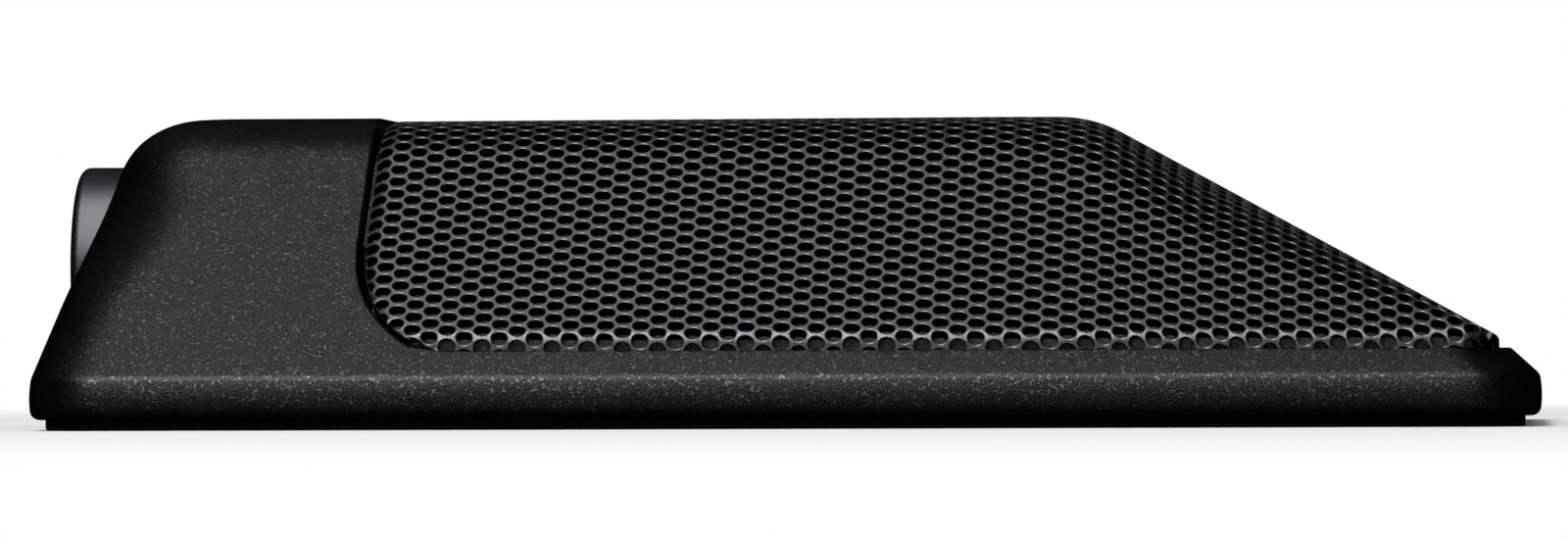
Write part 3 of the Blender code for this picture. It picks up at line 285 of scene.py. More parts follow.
def opening_edge(z):
    """X of the opening's edge at heights z: a quarter circle up from the ledge, then upright."""
    radius = APERTURE_CORNER_RADIUS
    down = np.clip(LEDGE_HEIGHT + radius - z, 0, radius)
    return APERTURE + radius - np.sqrt(radius ** 2 - down ** 2)


def opening_height(x):
    """Height of the opening's edge at x: the ledge, and a quarter circle up from it towards the rear."""
    radius = APERTURE_CORNER_RADIUS
    back = np.clip(APERTURE + radius - x, 0, radius)
    return LEDGE_HEIGHT + radius - np.sqrt(radius ** 2 - back ** 2)


def opening_way(z):
    """Direction into the opening at heights z, square to its edge in side view."""
    radius = APERTURE_CORNER_RADIUS
    down = np.clip(LEDGE_HEIGHT + radius - z, 0, radius) / radius
    return np.stack([np.sqrt(1 - down ** 2), np.zeros_like(z), down], axis=-1)


def rounded_edge(edge, normal, way, radius):
    """Rows of points over a rounded edge between a face with this normal and the cut face with normal way:
    centre plus radius times the direction that turns from one to the other."""
    radius = np.broadcast_to(np.asarray(radius, float), edge.shape[:1])[:, None]
    facing = np.sum(normal * way, axis=-1, keepdims=True)
    centre = edge - radius * (normal + way) / (1 + facing)
    turn = np.arccos(np.clip(facing, -1, 1))
    rows = []
    for share in np.linspace(0, 1, EDGE_ROWS):
        mix = (np.sin((1 - share) * turn) * normal + np.sin(share * turn) * way) / np.sin(turn)
        rows.append(centre + radius * mix)
    return rows


def housing_parts():
    """The shell as grids: band and rim slope, hood outside and inside, ledge, and the opening's rounded
    edge."""
    quarter = np.linspace(0, math.pi / 2, CORNER_ROWS)
    z_corner = LEDGE_HEIGHT + APERTURE_CORNER_RADIUS * (1 - np.cos(quarter))
    heights = []
    for top, rear_radius in ((TOP_HEIGHT, REAR_TOP_RADIUS), (TOP_HEIGHT - WALL, REAR_TOP_RADIUS - WALL)):
        first = top - rear_radius * (1 - math.cos(REAR_SLOPE))
        wall = np.linspace(z_corner[-1], first, WALL_ROWS)[1:]
        angle = REAR_SLOPE * (1 - np.linspace(0, 1, TURN_ROWS)[1:])
        heights.append(np.concatenate([z_corner, wall, top - rear_radius * (1 - np.cos(angle))]))
    hood_z, inner_z = heights
    hood = outline(hood_z, shell_sizes(hood_z), opening_edge(hood_z), TO_REAR)
    inner = outline(inner_z, cavity_sizes(inner_z), opening_edge(inner_z), TO_REAR)
    flat = np.linspace(1, 0, FLAT_ROWS + 1)[1:, None]
    hood, inner = [np.concatenate([grid, np.stack([np.repeat(grid[-1:, :, 0], FLAT_ROWS, axis=0),
                                                   grid[-1:, :, 1] * flat,
                                                   np.repeat(grid[-1:, :, 2], FLAT_ROWS, axis=0)], axis=-1)])
                   for grid in (hood, inner)]
    # normals of the hood at its two open ends
    along = hood[:, [1, -1]] - hood[:, [0, -2]]
    up = np.gradient(hood[:, [0, -1]], axis=0)
    normal = unit(np.cross(up, along))
    normal[-FLAT_ROWS - 1:] = (0, 0, 1)
    z_edge = np.concatenate([hood_z, np.full(FLAT_ROWS, TOP_HEIGHT)])
    way = opening_way(z_edge)
    reach = (z_edge - LEDGE_HEIGHT) / APERTURE_CORNER_RADIUS
    radius = LEDGE_EDGE_ROUND + (HOOD_EDGE_ROUND - LEDGE_EDGE_ROUND) * np.clip(reach, 0, 1)
    parts = []
    for end, k in ((0, 0), (-1, 1)):
        rows = rounded_edge(hood[:, end], normal[:, k], way, radius)
        hood[:, end] = rows[0]
        parts.append(part_of(np.stack(rows + [inner[:, end]])))
    parts += [part_of(hood), part_of(inner)]
    # lower shell, all round
    turn = np.linspace(0, math.pi / 2, EDGE_ROWS)
    bottom = SHELL_BOTTOM + BOTTOM_EDGE_RADIUS * (1 - np.cos(turn))
    band = np.linspace(bottom[-1], CREASE_HEIGHT - CREASE_SOFT, BAND_ROWS)[1:]
    crease = np.linspace(CREASE_HEIGHT - CREASE_SOFT, CREASE_HEIGHT + CREASE_SOFT, CREASE_ROWS)[1:]
    slope = np.linspace(CREASE_HEIGHT + CREASE_SOFT, LEDGE_HEIGHT, SLOPE_ROWS)[1:]
    z = np.concatenate([bottom, band, crease, slope])
    front_x = np.full_like(z, APERTURE + APERTURE_CORNER_RADIUS)
    back, nose = [outline(z, shell_sizes(z), front_x, way) for way in (TO_REAR, TO_NOSE)]
    inset = PLATE_INSET - GAP
    radius = BAND_CORNER_RADIUS - inset
    recess_sizes = [np.full(2, value) for value in (inset, inset, inset, radius, radius)]
    z_recess = np.array([RECESS_TOP, SHELL_BOTTOM])
    recess_back, recess_nose = [outline(z_recess, recess_sizes, front_x[:2], way)
                                for way in (TO_REAR, TO_NOSE)]
    radius = HIP_RADIUS - WALL
    rim_sizes = [np.full(2, value) for value in (RIM_WALL, NOSE_WALL, RIM_WALL, radius, radius)]
    z_rim = np.array([LEDGE_HEIGHT, RECESS_TOP])
    rim_back, rim_nose = [outline(z_rim, rim_sizes, front_x[:2], way) for way in (TO_REAR, TO_NOSE)]
    # rounded outer edge of the ledge
    along = np.gradient(nose[-1], axis=0)
    face = unit(np.cross(nose[-1] - nose[-2], along))
    face[0], face[-1] = normal[0, 1], normal[0, 0]
    up_way = np.broadcast_to(np.array([0.0, 0.0, 1.0]), face.shape)
    rows = rounded_edge(nose[-1], face, up_way, LEDGE_EDGE_ROUND)
    rows[-1][:, 2] = LEDGE_HEIGHT
    nose[-1] = rows[0]
    back[-1] = hood[0]
    grids = ([recess_back, back], [recess_nose, nose], [np.stack(rows), rim_nose, recess_nose[:1]],
             [inner[:1], rim_back, recess_back[:1]])
    return parts + [part_of(np.concatenate(grid)) for grid in grids]


# The grille's form

def bend(start, way, angle, length, radius):
    """Point reached from start after a length on an arc that turns from way by angle: radius times sine along
    it and radius times one less cosine across it."""
    phi = np.divide(length, radius, out=np.zeros(np.broadcast(length, radius).shape), where=radius > 0)
    across = np.stack([-way[..., 1], way[..., 0]], axis=-1) * np.sign(angle)[..., None]
    return start + radius[..., None] * (np.sin(phi)[..., None] * way + (1 - np.cos(phi))[..., None] * across)


def rounded_path(corners, radii, distance):
    """Points at distances along straight runs through 2-D corners, joined by arcs that give way where a run
    is short; also the whole length of each path. Corners and radii are arrays with one path per entry."""
    point = corners[0]
    position = np.array(np.broadcast_to(point, distance.shape + (2,)))
    total = np.zeros(distance.shape)
    for k, radius in enumerate(radii, 1):
        coming, going = corners[k] - corners[k - 1], corners[k + 1] - corners[k]
        size = np.linalg.norm(coming, axis=-1), np.linalg.norm(going, axis=-1)
        way, after = unit(coming), unit(going)
        cross = way[..., 0] * after[..., 1] - way[..., 1] * after[..., 0]
        angle = np.arctan2(cross, np.sum(way * after, axis=-1))
        half = np.tan(np.abs(angle) / 2)
        live = (size[0] * size[1] > TINY_PRODUCT) & (half > TINY)
        tangent = np.where(live, np.minimum(radius * half, np.minimum(*size) * ARC_ROOM_SHARE), 0)
        arc = np.where(live, tangent / np.maximum(half, TINY), 0)
        first = corners[k] - way * tangent[..., None]
        straight = np.where(size[0] > TINY, np.linalg.norm(first - point, axis=-1), 0)
        turn = np.where(live, arc * np.abs(angle), 0)
        here = np.clip(distance - total, 0, straight)
        position = position + way * here[..., None]
        total = total + straight
        here = np.clip(distance - total, 0, turn)
        position = bend(position, way, angle, here, np.broadcast_to(arc, here.shape))
        total = total + turn
        point = corners[k] + after * tangent[..., None]
    last = corners[-1] - point
    straight = np.linalg.norm(last, axis=-1)
    here = np.clip(distance - total, 0, straight)
    return position + unit(last) * here[..., None], total + straight


def side_profile(distance):
    """Side view of the sheet: top, ridge, slope and lip; points and the whole length."""
    lip_z = LEDGE_HEIGHT + LIP_HEIGHT
    fall, rise = math.tan(GRILLE_SLOPE), math.tan(GRILLE_RISE)
    ridge_x = (lip_z + GRILLE_NOSE * fall - GRILLE_TOP + GRILLE_REAR * rise) / (fall + rise)
    ridge_z = GRILLE_TOP + (ridge_x - GRILLE_REAR) * rise
    corners = [np.array(c) for c in ((GRILLE_REAR, GRILLE_TOP), (ridge_x, ridge_z), (GRILLE_NOSE, lip_z),
                                     (GRILLE_NOSE, GRILLE_BOTTOM))]
    return rounded_path(corners, [RIDGE_RADIUS, LIP_RADIUS], distance)


def sheet_length():
    """Length of the side profile from the rear edge to the lip's foot."""
    return side_profile(np.zeros(1))[1][0]


def opening_floor(x):
    """Lowest height of the sheet at x: level, but a quarter ellipse round the opening's rear corner, which
    starts on the ledge and ends the seam's width from the hood."""
    across, up = APERTURE_CORNER_RADIUS - SEAM, APERTURE_CORNER_RADIUS - SEAT
    back = np.clip((APERTURE + APERTURE_CORNER_RADIUS - x) / across, 0, 1)
    raised = ROLL_DEPTH * smooth_share(back, *ROLL_FADE_SHARES)
    return LEDGE_HEIGHT + APERTURE_CORNER_RADIUS - up * np.sqrt(1 - back ** 2) + raised


def edge_roll(x, z):
    """How far the sheet's rear edge is rolled in at a place in side view: the square of the share of
    ROLL_WIDTH that is left to the edge, times ROLL_DEPTH, and fading out where the edge turns level."""
    across, up = APERTURE_CORNER_RADIUS - SEAM, APERTURE_CORNER_RADIUS - SEAT
    back = np.clip((APERTURE + APERTURE_CORNER_RADIUS - x) / across, 0, 1)
    down = np.clip((LEDGE_HEIGHT + APERTURE_CORNER_RADIUS - z) / up, 0, 1)
    inward = across * (1 - np.hypot(back, down))
    return ROLL_DEPTH * np.clip(1 - inward / ROLL_WIDTH, 0, 1) ** 2 * smooth_share(back, *ROLL_FADE_SHARES)


def sheet_points(along, across):
    """Points of the sheet's outer face: along is a length on the side profile, across a signed arc length
    from the middle line in the upright plane there. Also the half cross-section's whole length."""
    profile, _ = side_profile(along)
    x, top = profile[..., 0], profile[..., 1]
    floor = opening_floor(x)
    edge = half_width(x) - LEDGE_INSET - SKIRT_INSET
    ahead = np.clip(x - (GRILLE_NOSE - LIP_CORNER_RADIUS), 0, LIP_CORNER_RADIUS)
    skirt = edge - (LIP_CORNER_RADIUS - np.sqrt(LIP_CORNER_RADIUS ** 2 - ahead ** 2))
    skirt_top = LEDGE_HEIGHT + SKIRT_HEIGHT
    fall = (TOP_HEIGHT - skirt_top) / (edge - half_width(x) + CORNER_INSET)
    low = np.maximum(floor, np.minimum(skirt_top + (edge - skirt) * fall, top))
    shoulder = np.maximum(np.minimum(edge - (top - skirt_top) / fall, skirt), 0)
    foot = np.minimum(edge - (low - skirt_top) / fall, skirt)
    hip = smooth_share(x, GRILLE_NOSE - RIDGE_RADIUS * HIP_SETS_IN, GRILLE_NOSE - RIDGE_RADIUS * HIP_IS_FULL)
    round_top = SIDE_TOP_RADIUS + (HIP_LINE_RADIUS - SIDE_TOP_RADIUS) * hip
    zero = np.zeros_like(x)
    corners = [np.stack(c, axis=-1) for c in ((zero, top), (shoulder, top), (foot, low),
                                              (foot, np.minimum(floor, low)))]
    flat, reach = rounded_path(corners, [round_top, zero + SKIRT_RADIUS], np.abs(across))
    side = np.where(across < 0, -1.0, 1.0)
    return np.stack([x, side * flat[..., 0], flat[..., 1]], axis=-1), reach


def sheet_face(along, across, depth):
    """Sheet points moved in by a depth along the face's normal, which comes from small steps both ways."""
    step = NORMAL_STEP
    here, reach = sheet_points(along, across)
    inside = np.clip(across, -reach + step, reach - step)
    middle = np.clip(along, step, sheet_length() - step)
    d_along = sheet_points(middle + step, inside)[0] - sheet_points(middle - step, inside)[0]
    d_across = sheet_points(middle, inside + step)[0] - sheet_points(middle, inside - step)[0]
    depth = depth + edge_roll(here[..., 0], here[..., 2])
    return here - unit(np.cross(d_along, d_across)) * depth[..., None]


def lattice_length(step):
    """Length on the side profile of an even lattice position: equal on the flat top, stretched by
    SLOPE_STRETCH where the sheet was drawn down."""
    over = soft_ramp(step - (STRETCH_FROM + STRETCH_TO) / 2, (STRETCH_TO - STRETCH_FROM) / 2)
    return step + (SLOPE_STRETCH - 1) * over


def punched_sheet(side):
    """Half of the sheet as six-sided cells about round holes in a 60 degree lattice. Each cell has twelve
    corners, every second one a corner of the six-sided border, and five rings of them: border, hole rim,
    rounded rim, hole at the back, border at the back. A cell stays if any border point lies within the sheet,
    and what reaches past the sheet is clipped to its edge."""
    length = sheet_length()
    pitch_along = HOLE_PITCH * math.sqrt(3) / 2
    rows = np.arange(0, LATTICE_ROWS) if side > 0 else np.arange(-LATTICE_ROWS, 0)
    k, i = [v.ravel() for v in np.meshgrid(np.arange(-1, LATTICE_COLUMNS), rows, indexing="ij")]
    odd = (k % 2) == 1
    u = (k + FIRST_COLUMN) * pitch_along
    s = HOLE_PITCH * (i + 0.5 * odd)
    corners = np.arange(HOLE_CORNERS)
    angle = corners * 2 * math.pi / HOLE_CORNERS
    border = np.where(corners % 2 == 0, HOLE_PITCH / math.sqrt(3), HOLE_PITCH / 2)
    rim_u, rim_s = u[:, None] + border * np.cos(angle), s[:, None] + border * np.sin(angle)
    rim_along = lattice_length(rim_u)
    _, reach = sheet_points(np.clip(rim_along, 0, length), rim_s)
    within = (rim_along > SEAT) & (rim_along < length - SEAT) & (np.abs(rim_s) < reach - SEAT)
    keep = within.any(axis=1)
    u, s = u[keep], s[keep]
    rings = ((border, 0), (HOLE_RADIUS + PUNCH_ROUND, 0), (HOLE_RADIUS, PUNCH_DEPTH), (HOLE_RADIUS, SHEET),
             (border, SHEET))
    radii = np.array([np.broadcast_to(radius, angle.shape) for radius, _ in rings])
    u, s = u[:, None, None] + radii * np.cos(angle), s[:, None, None] + radii * np.sin(angle)
    depth = np.broadcast_to(np.array([depth for _, depth in rings])[:, None], u.shape)
    along = np.clip(lattice_length(u), 0, length)
    _, reach = sheet_points(along, s)
    s = np.clip(s, -reach, reach)
    points = sheet_face(along, s, depth)
    ids = np.arange(u.size).reshape(u.shape)
    after = np.roll(ids, -1, axis=2)
    faces = []
    for ring in range(len(rings) - 1):
        a, b, c, d = ids[:, ring], after[:, ring], after[:, ring + 1], ids[:, ring + 1]
        faces += [np.stack([a, b, c], -1).reshape(-1, 3), np.stack([a, c, d], -1).reshape(-1, 3)]
    # walls down each cell's border; where two cells meet, both walls fall together and are left out
    a, b, c, d = ids[:, 0], after[:, 0], after[:, -1], ids[:, -1]
    alone = cell_borders(points.reshape(-1, 3), a, b).reshape(a.shape)
    faces += [np.stack([b, a, d], -1)[alone], np.stack([b, d, c], -1)[alone]]
    return merge([(points.reshape(-1, 3), np.concatenate(faces))])


def cell_borders(points, start, end):
    """Which border edges belong to one cell only, by their end points in steps of SAME_POINT."""
    keys = np.round(points / SAME_POINT).astype(np.int64)
    _, number = np.unique(keys, axis=0, return_inverse=True)
    number = number.reshape(-1)
    pair = np.sort(np.stack([number[start.ravel()], number[end.ravel()]], axis=-1), axis=1)
    _, inverse, count = np.unique(pair, axis=0, return_inverse=True, return_counts=True)
    return count[inverse.reshape(-1)] == 1


# Materials

def linear(hex_colour):
    """An sRGB hex colour as linear RGBA."""
    values = [int(hex_colour[k:k + 2], 16) / 255 for k in (0, 2, 4)]
    return (*[v / 12.92 if v <= 0.04045 else ((v + 0.055) / 1.055) ** 2.4 for v in values], 1.0)


def add_node(tree, kind, links=None, **settings):
    """Add a node. Settings are its own fields; links give a socket a plain value or the output it takes."""
    node = tree.nodes.new(kind)
    for key, value in settings.items():
        setattr(node, key, value)
    for socket, source in (links or {}).items():
        target = node.inputs[socket]
        if hasattr(source, "is_output"):
            tree.links.new(source, target)
        else:
            target.default_value = source
    return node


def start_material(name, **sockets):
    """A material with its Principled shader, whose sockets take plain values."""
    made = bpy.data.materials.new(name)
    made.use_nodes = True
    shader = made.node_tree.nodes["Principled BSDF"]
    for key, value in sockets.items():
        shader.inputs[key.replace("_", " ")].default_value = value
    place = add_node(made.node_tree, "ShaderNodeTexCoord")
    return made, made.node_tree, shader, place.outputs["Object"]


# Glinting grains of the powder coat: spacing in millimetres, and the noise values between which a grain turns
# to metal and takes the glint's colour
GLINT_GRAIN, GLINT_METAL, GLINT_TONE = 0.36, (0.51, 0.59), (0.55, 0.68)
# Upward part of a face's direction between which the painted shade on faces that look down gives way to the
# coat
PAINTED_SHADE_RISE = (-0.25, -0.1)
# Size of the coat's duller and smoother patches
COAT_PATCH = 6 * MM
# Noise values from which a grain turns light and is light, how far the roughness wanders either way, and the
# bump's strength: of the powder coat and of the other finishes
COAT_GRAIN, FINISH_GRAIN = ((0.35, 0.68), 0.04, 0.8), ((0.3, 0.7), 0.06, 0.6)


def grain_layers(tree, shader, grain, patches, tones, roughness, height, stops, spread, strength):
    """Colour, roughness and bump from noise. The grain mixes two tones between two stops and raises the bump
    by height, in millimetres; the patches move the roughness by spread. Gives the colour's output."""
    ramp = add_node(tree, "ShaderNodeValToRGB", {"Fac": grain})
    for element, stop, tone in zip(ramp.color_ramp.elements, stops, tones):
        element.position, element.color = stop, linear(tone)
    rough = add_node(tree, "ShaderNodeMapRange", {"Value": patches, "To Min": roughness - spread,
                                                  "To Max": roughness + spread})
    bump = add_node(tree, "ShaderNodeBump", {"Height": grain, "Distance": height * MM, "Strength": strength})
    tree.links.new(ramp.outputs["Color"], shader.inputs["Base Color"])
    tree.links.new(rough.outputs["Result"], shader.inputs["Roughness"])
    tree.links.new(bump.outputs["Normal"], shader.inputs["Normal"])
    return ramp.outputs["Color"]


def powder_coat(name, dark, light, roughness, grain, height, metallic=0.0, glint=None, painted_shade=None):
    """Polyester powder coat: two close colours mixed by a grain, and the same grain as bump; grain and height
    are in millimetres. The tops of some grains, drawn a little coarser than real ones so that they show, turn
    to glint's colour and mirror the lamps as a fine speckle. Faces that look down, which are the hole walls
    that the front shows, take a near-black painted shade colour, which stands in for the shade these walls
    lie in."""
    made, tree, shader, place = start_material(name, Metallic=metallic)
    noise = add_node(tree, "ShaderNodeTexNoise", {"Vector": place, "Scale": 1 / (grain * MM), "Detail": 3.0,
                                                  "Roughness": 0.6})
    coarse = add_node(tree, "ShaderNodeTexNoise", {"Vector": place, "Scale": 1 / COAT_PATCH, "Detail": 2.0})
    colour = grain_layers(tree, shader, noise.outputs["Fac"], coarse.outputs["Fac"], (dark, light), roughness,
                          height, *COAT_GRAIN)
    # Painted shade: faces that look down, the hole walls, take the painted shade colour in place of the
    # coat's colour
    if painted_shade:
        faces = add_node(tree, "ShaderNodeNewGeometry")
        rise = add_node(tree, "ShaderNodeSeparateXYZ", {"Vector": faces.outputs["True Normal"]})
        unshaded_share = add_node(tree, "ShaderNodeMapRange", {"Value": rise.outputs["Z"], "From Min": PAINTED_SHADE_RISE[0],
                                                       "From Max": PAINTED_SHADE_RISE[1]})
        mix = add_node(tree, "ShaderNodeMix", {0: unshaded_share.outputs["Result"], 6: linear(painted_shade), 7: colour},
                       data_type="RGBA")
        tree.links.new(mix.outputs[2], shader.inputs["Base Color"])
    if glint:
        tops = add_node(tree, "ShaderNodeTexNoise", {"Vector": place, "Scale": 1 / (GLINT_GRAIN * MM),
                                                     "Detail": 1.0})
        share, tone = [add_node(tree, "ShaderNodeMapRange", {"Value": tops.outputs["Fac"], "From Min": low,
                                                             "From Max": high})
                       for low, high in (GLINT_METAL, GLINT_TONE)]
        mix = add_node(tree, "ShaderNodeMix", {0: tone.outputs["Result"], 6: colour, 7: linear(glint)},
                       data_type="RGBA")
        tree.links.new(share.outputs["Result"], shader.inputs["Metallic"])
        tree.links.new(mix.outputs[2], shader.inputs["Base Color"])
    return made


def plain_finish(name, dark, light, roughness, grain, height, metallic=0.0, stretch=(1, 1, 1), specular=0.5):
    """A finish with two close colours mixed by a grain, and the same grain as bump; grain and height are in
    millimetres. Stretch draws the grain out for drawn or turned surfaces. The grain of platings and mouldings
    is too fine to show, so it is drawn coarser than real."""
    made, tree, shader, place = start_material(name, Metallic=metallic, Specular_IOR_Level=specular)
    mapping = add_node(tree, "ShaderNodeMapping", {"Vector": place, "Scale": stretch})
    noise = add_node(tree, "ShaderNodeTexNoise", {"Vector": mapping.outputs["Vector"],
                                                  "Scale": 1 / (grain * MM), "Detail": 3.0})
    grain_layers(tree, shader, noise.outputs["Fac"], noise.outputs["Fac"], (dark, light), roughness, height,
                 *FINISH_GRAIN)
    return made


def turned_about_x(profile, steps):
    """A closed solid turned about the connector's axis: each (x, radius) point goes round a circle."""
    angle = np.arange(steps) * 2 * math.pi / steps
    x, radius = np.array(profile).T
    grid = np.stack([np.repeat(x[:, None], steps, axis=1), radius[:, None] * np.cos(angle),
                     COLLAR_HEIGHT + radius[:, None] * np.sin(angle)], axis=-1)
    return part_of(grid, wrap=True)


def arc_points(centre, radius, start, end, steps):
    """(x, radius) points on an arc of the turned profile: centre plus radius times cosine and sine of angles
    given in degrees."""
    angle = np.radians(np.linspace(start, end, steps))
    return [(centre[0] + radius * math.cos(a), centre[1] + radius * math.sin(a)) for a in angle]


# Pieces

def build_housing(paint):
    """The shell, with the bore for the collar cut through its rear wall."""
    points, triangles = merge(housing_parts())
    shell = new_piece("housing_shell", points, triangles, SHELL_SHARP, paint, clean=True)
    ends, radius = (REAR - BORE_REACH, REAR + BORE_REACH), COLLAR_RADIUS + GAP
    profile = [(ends[0], 0), (ends[0], radius), (ends[1], radius), (ends[1], 0)]
    points, triangles = merge([turned_about_x(profile, BORE_STEPS)])
    bore = new_piece("bore_guide", points, triangles, clean=True)
    change = shell.modifiers.new("bore", "BOOLEAN")
    change.operation, change.object, change.solver = "DIFFERENCE", bore, "EXACT"
    graph = bpy.context.evaluated_depsgraph_get()
    cut_mesh = bpy.data.meshes.new_from_object(shell.evaluated_get(graph))
    shell.modifiers.clear()
    shell.data = cut_mesh
    cut_mesh.set_sharp_from_angle(angle=math.radians(SHELL_SHARP))
    bpy.data.objects.remove(bore, do_unlink=True)
    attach(shell, "root")
    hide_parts("housing")


def build_grille(coat):
    """The punched sheet, as its right and left halves."""
    for name, side in (("grille_right", -1), ("grille_left", 1)):
        points, triangles = punched_sheet(side)
        piece = new_piece(name, points, triangles, sharp=26, material=coat)
        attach(piece, "root")
        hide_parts("grille")


def build_liner(cloth):
    """Thin cloth stretched close under the sheet, cut to the sheet's own shape; its long borders reach down
    to the opening's edge, so that the seam shows cloth."""
    length = sheet_length()
    along = np.linspace(ROLL_WIDTH, length, CLOTH_ROWS)[:, None]
    share = np.linspace(-1, 1, CLOTH_COLUMNS)[None, :]
    along = np.repeat(along, CLOTH_COLUMNS, axis=1)
    reach = sheet_points(along, along * 0)[1]
    across = share * reach
    layers = []
    for depth in (SHEET + SEAT, SHEET + SEAT + CLOTH_THICKNESS):
        layer = sheet_face(along, across, np.full(along.shape, depth))
        borders = layer[:, [0, -1]]
        borders[..., 2] = np.minimum(borders[..., 2], opening_height(borders[..., 0]) + SEAT)
        layer[:, [0, -1]] = borders
        layers.append(layer)
    outer, inner = layers
    grids = [outer, inner] + [np.stack([outer[k], inner[k]]) for k in (0, -1)]
    grids += [np.stack([outer[:, k], inner[:, k]]) for k in (0, -1)]
    points, triangles = merge([part_of(grid) for grid in grids])
    piece = new_piece("liner_cloth", points, triangles, sharp=60, material=cloth, clean=True)
    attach(piece, "root")
    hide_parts("grille_liner")


def build_connector(metal):
    """Collar turned with a rounded mouth and a chamfered bore."""
    bore = COLLAR_RADIUS - COLLAR_WALL
    back = COLLAR_MOUTH + COLLAR_LENGTH
    profile = arc_points((COLLAR_MOUTH + COLLAR_EDGE, COLLAR_RADIUS - COLLAR_EDGE), COLLAR_EDGE, 180, 90,
                         COLLAR_EDGE_STEPS)
    profile += [(back, COLLAR_RADIUS), (back, bore), (COLLAR_MOUTH + COLLAR_CHAMFER, bore)]
    profile += [(COLLAR_MOUTH, bore + COLLAR_CHAMFER), profile[0]]
    points, triangles = merge([turned_about_x(profile, COLLAR_STEPS)])
    piece = new_piece("connector_sleeve", points, triangles, sharp=30, material=metal, clean=True)
    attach(piece, "root")
    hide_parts("connector_collar")


def build_pad(rubber):
    """Moulded pad with a small round at its lower edge; it reaches up to the shell's underside. Its flats are
    the outline drawn in to the middle line in even shares."""
    turn = np.linspace(0, math.pi / 2, EDGE_ROWS)
    z = np.concatenate([PAD_EDGE * (1 - np.cos(turn)), [SHELL_BOTTOM + SEAT]])
    inset = np.concatenate([PAD_INSET + PAD_EDGE * (1 - np.sin(turn)), [PAD_INSET]])
    radius = BAND_CORNER_RADIUS - inset
    sizes, front = (inset, inset, inset, radius, radius), np.full_like(z, APERTURE)
    ring = np.concatenate([outline(z, sizes, front, way) for way in (TO_REAR, TO_NOSE)], axis=1)
    shares = np.linspace(1, 0, PAD_FLAT_ROWS)
    flats = [np.stack([end * (1, share, 1) for share in shares]) for end in (ring[0], ring[-1])]
    points, triangles = merge([part_of(grid, wrap=True) for grid in (ring, *flats)])
    piece = new_piece("pad_of_rubber", points, triangles, sharp=50, material=rubber, clean=True)
    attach(piece, "root")
    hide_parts("base_pad")


# Studio

# Black cards round the object, seen in reflections only: walls in front, behind and beside, a roof and one on
# the floor. Lowest and highest corners in metres.
FLAGS = {"front_flag": ((-1.6, -1.4, 0.02), (1.6, -1.4, 1.6)), "rear_flag": ((-1.6, 1.3, 0), (1.6, 1.3, 1.6)),
         "roof_flag": ((-1.6, -1.4, 1.6), (1.6, 1.3, 1.6)), "left_flag": ((-1.6, -1.4, 0), (-1.6, 1.3, 1.6)),
         "right_flag": ((1.6, -1.4, 0), (1.6, 1.3, 1.6)),
         "floor_flag": ((-1.2, -1.4, 0.0004), (1.2, 1.2, 0.0004))}

# Softboxes: side, degrees above the floor, width and height in metres, watts; how far they stand from the
# point on the floor that they look at, and its X
SOFTBOX_DISTANCE, SOFTBOX_X = 1.25, -0.2
SOFTBOXES = [("front_softbox", -1, 51.5, (0.33, 2.0), 15.2), ("rear_softbox", 1, 45, (1.0, 0.7), 0.08)]

# Half the floor's length, where it starts to turn white and is white, and the fill light of the surroundings
FLOOR_REACH, WHITE_FROM, WHITE_TO, FILL = 4, 0.15, 0.35, 0.45

# The camera, fitted to the photograph's outline: yaw, roll, distance from the point it looks at, its height
# above the table; lens and sensor in millimetres, the picture in pixels and the pixel that its axis meets
CAMERA_YAW, CAMERA_ROLL, CAMERA_DISTANCE, CAMERA_HEIGHT = math.radians(4.0), math.radians(0.2), 1.0, 8 * MM
CAMERA_AIM, LENS, SENSOR = (0, 0, 14 * MM), 226.6, 36
PICTURE, AXIS_PIXEL = (1600, 548), (824.6, 292.7)


def rectangle(name, low, high, material, **seen):
    """A flat card from its lowest to its highest corner; the other two lie a step along the card's first
    axis from the lowest and back from the highest. Seen says which rays meet it."""
    low, high = np.array(low, float), np.array(high, float)
    step = np.where(np.arange(3) == np.argmax(low != high), high - low, 0)
    corners = np.array([low, low + step, high, high - step])
    card = new_piece(name, corners, np.array([[0, 1, 2], [0, 2, 3]]), material=material)
    for key, value in seen.items():
        setattr(card, "visible_" + key, value)


def softbox(name, side, rise, size, power):
    """A rectangular soft lamp in front (-1) or behind (1): cosine and sine of its rise in degrees, times
    SOFTBOX_DISTANCE, give its place. It looks at its point on the floor."""
    data = bpy.data.lights.new(name, "AREA")
    data.shape, data.size, data.size_y, data.energy = "RECTANGLE", *size, power
    lamp = bpy.data.objects.new(name, data)
    bpy.context.scene.collection.objects.link(lamp)
    away, up = [SOFTBOX_DISTANCE * turn(math.radians(rise)) for turn in (math.cos, math.sin)]
    lamp.location = (SOFTBOX_X, side * away, up)
    lamp.rotation_euler = Vector((0, -side * away, -up)).to_track_quat("-Z", "Y").to_euler()


def shown_rays(tree):
    """One for rays of the camera, of reflections and through glass, else zero: the largest of the three."""
    path = add_node(tree, "ShaderNodeLightPath")
    share = path.outputs["Is Camera Ray"]
    for other in ("Is Glossy Ray", "Is Transmission Ray"):
        share = add_node(tree, "ShaderNodeMath", {0: share, 1: path.outputs[other]},
                         operation="MAXIMUM").outputs[0]
    return share


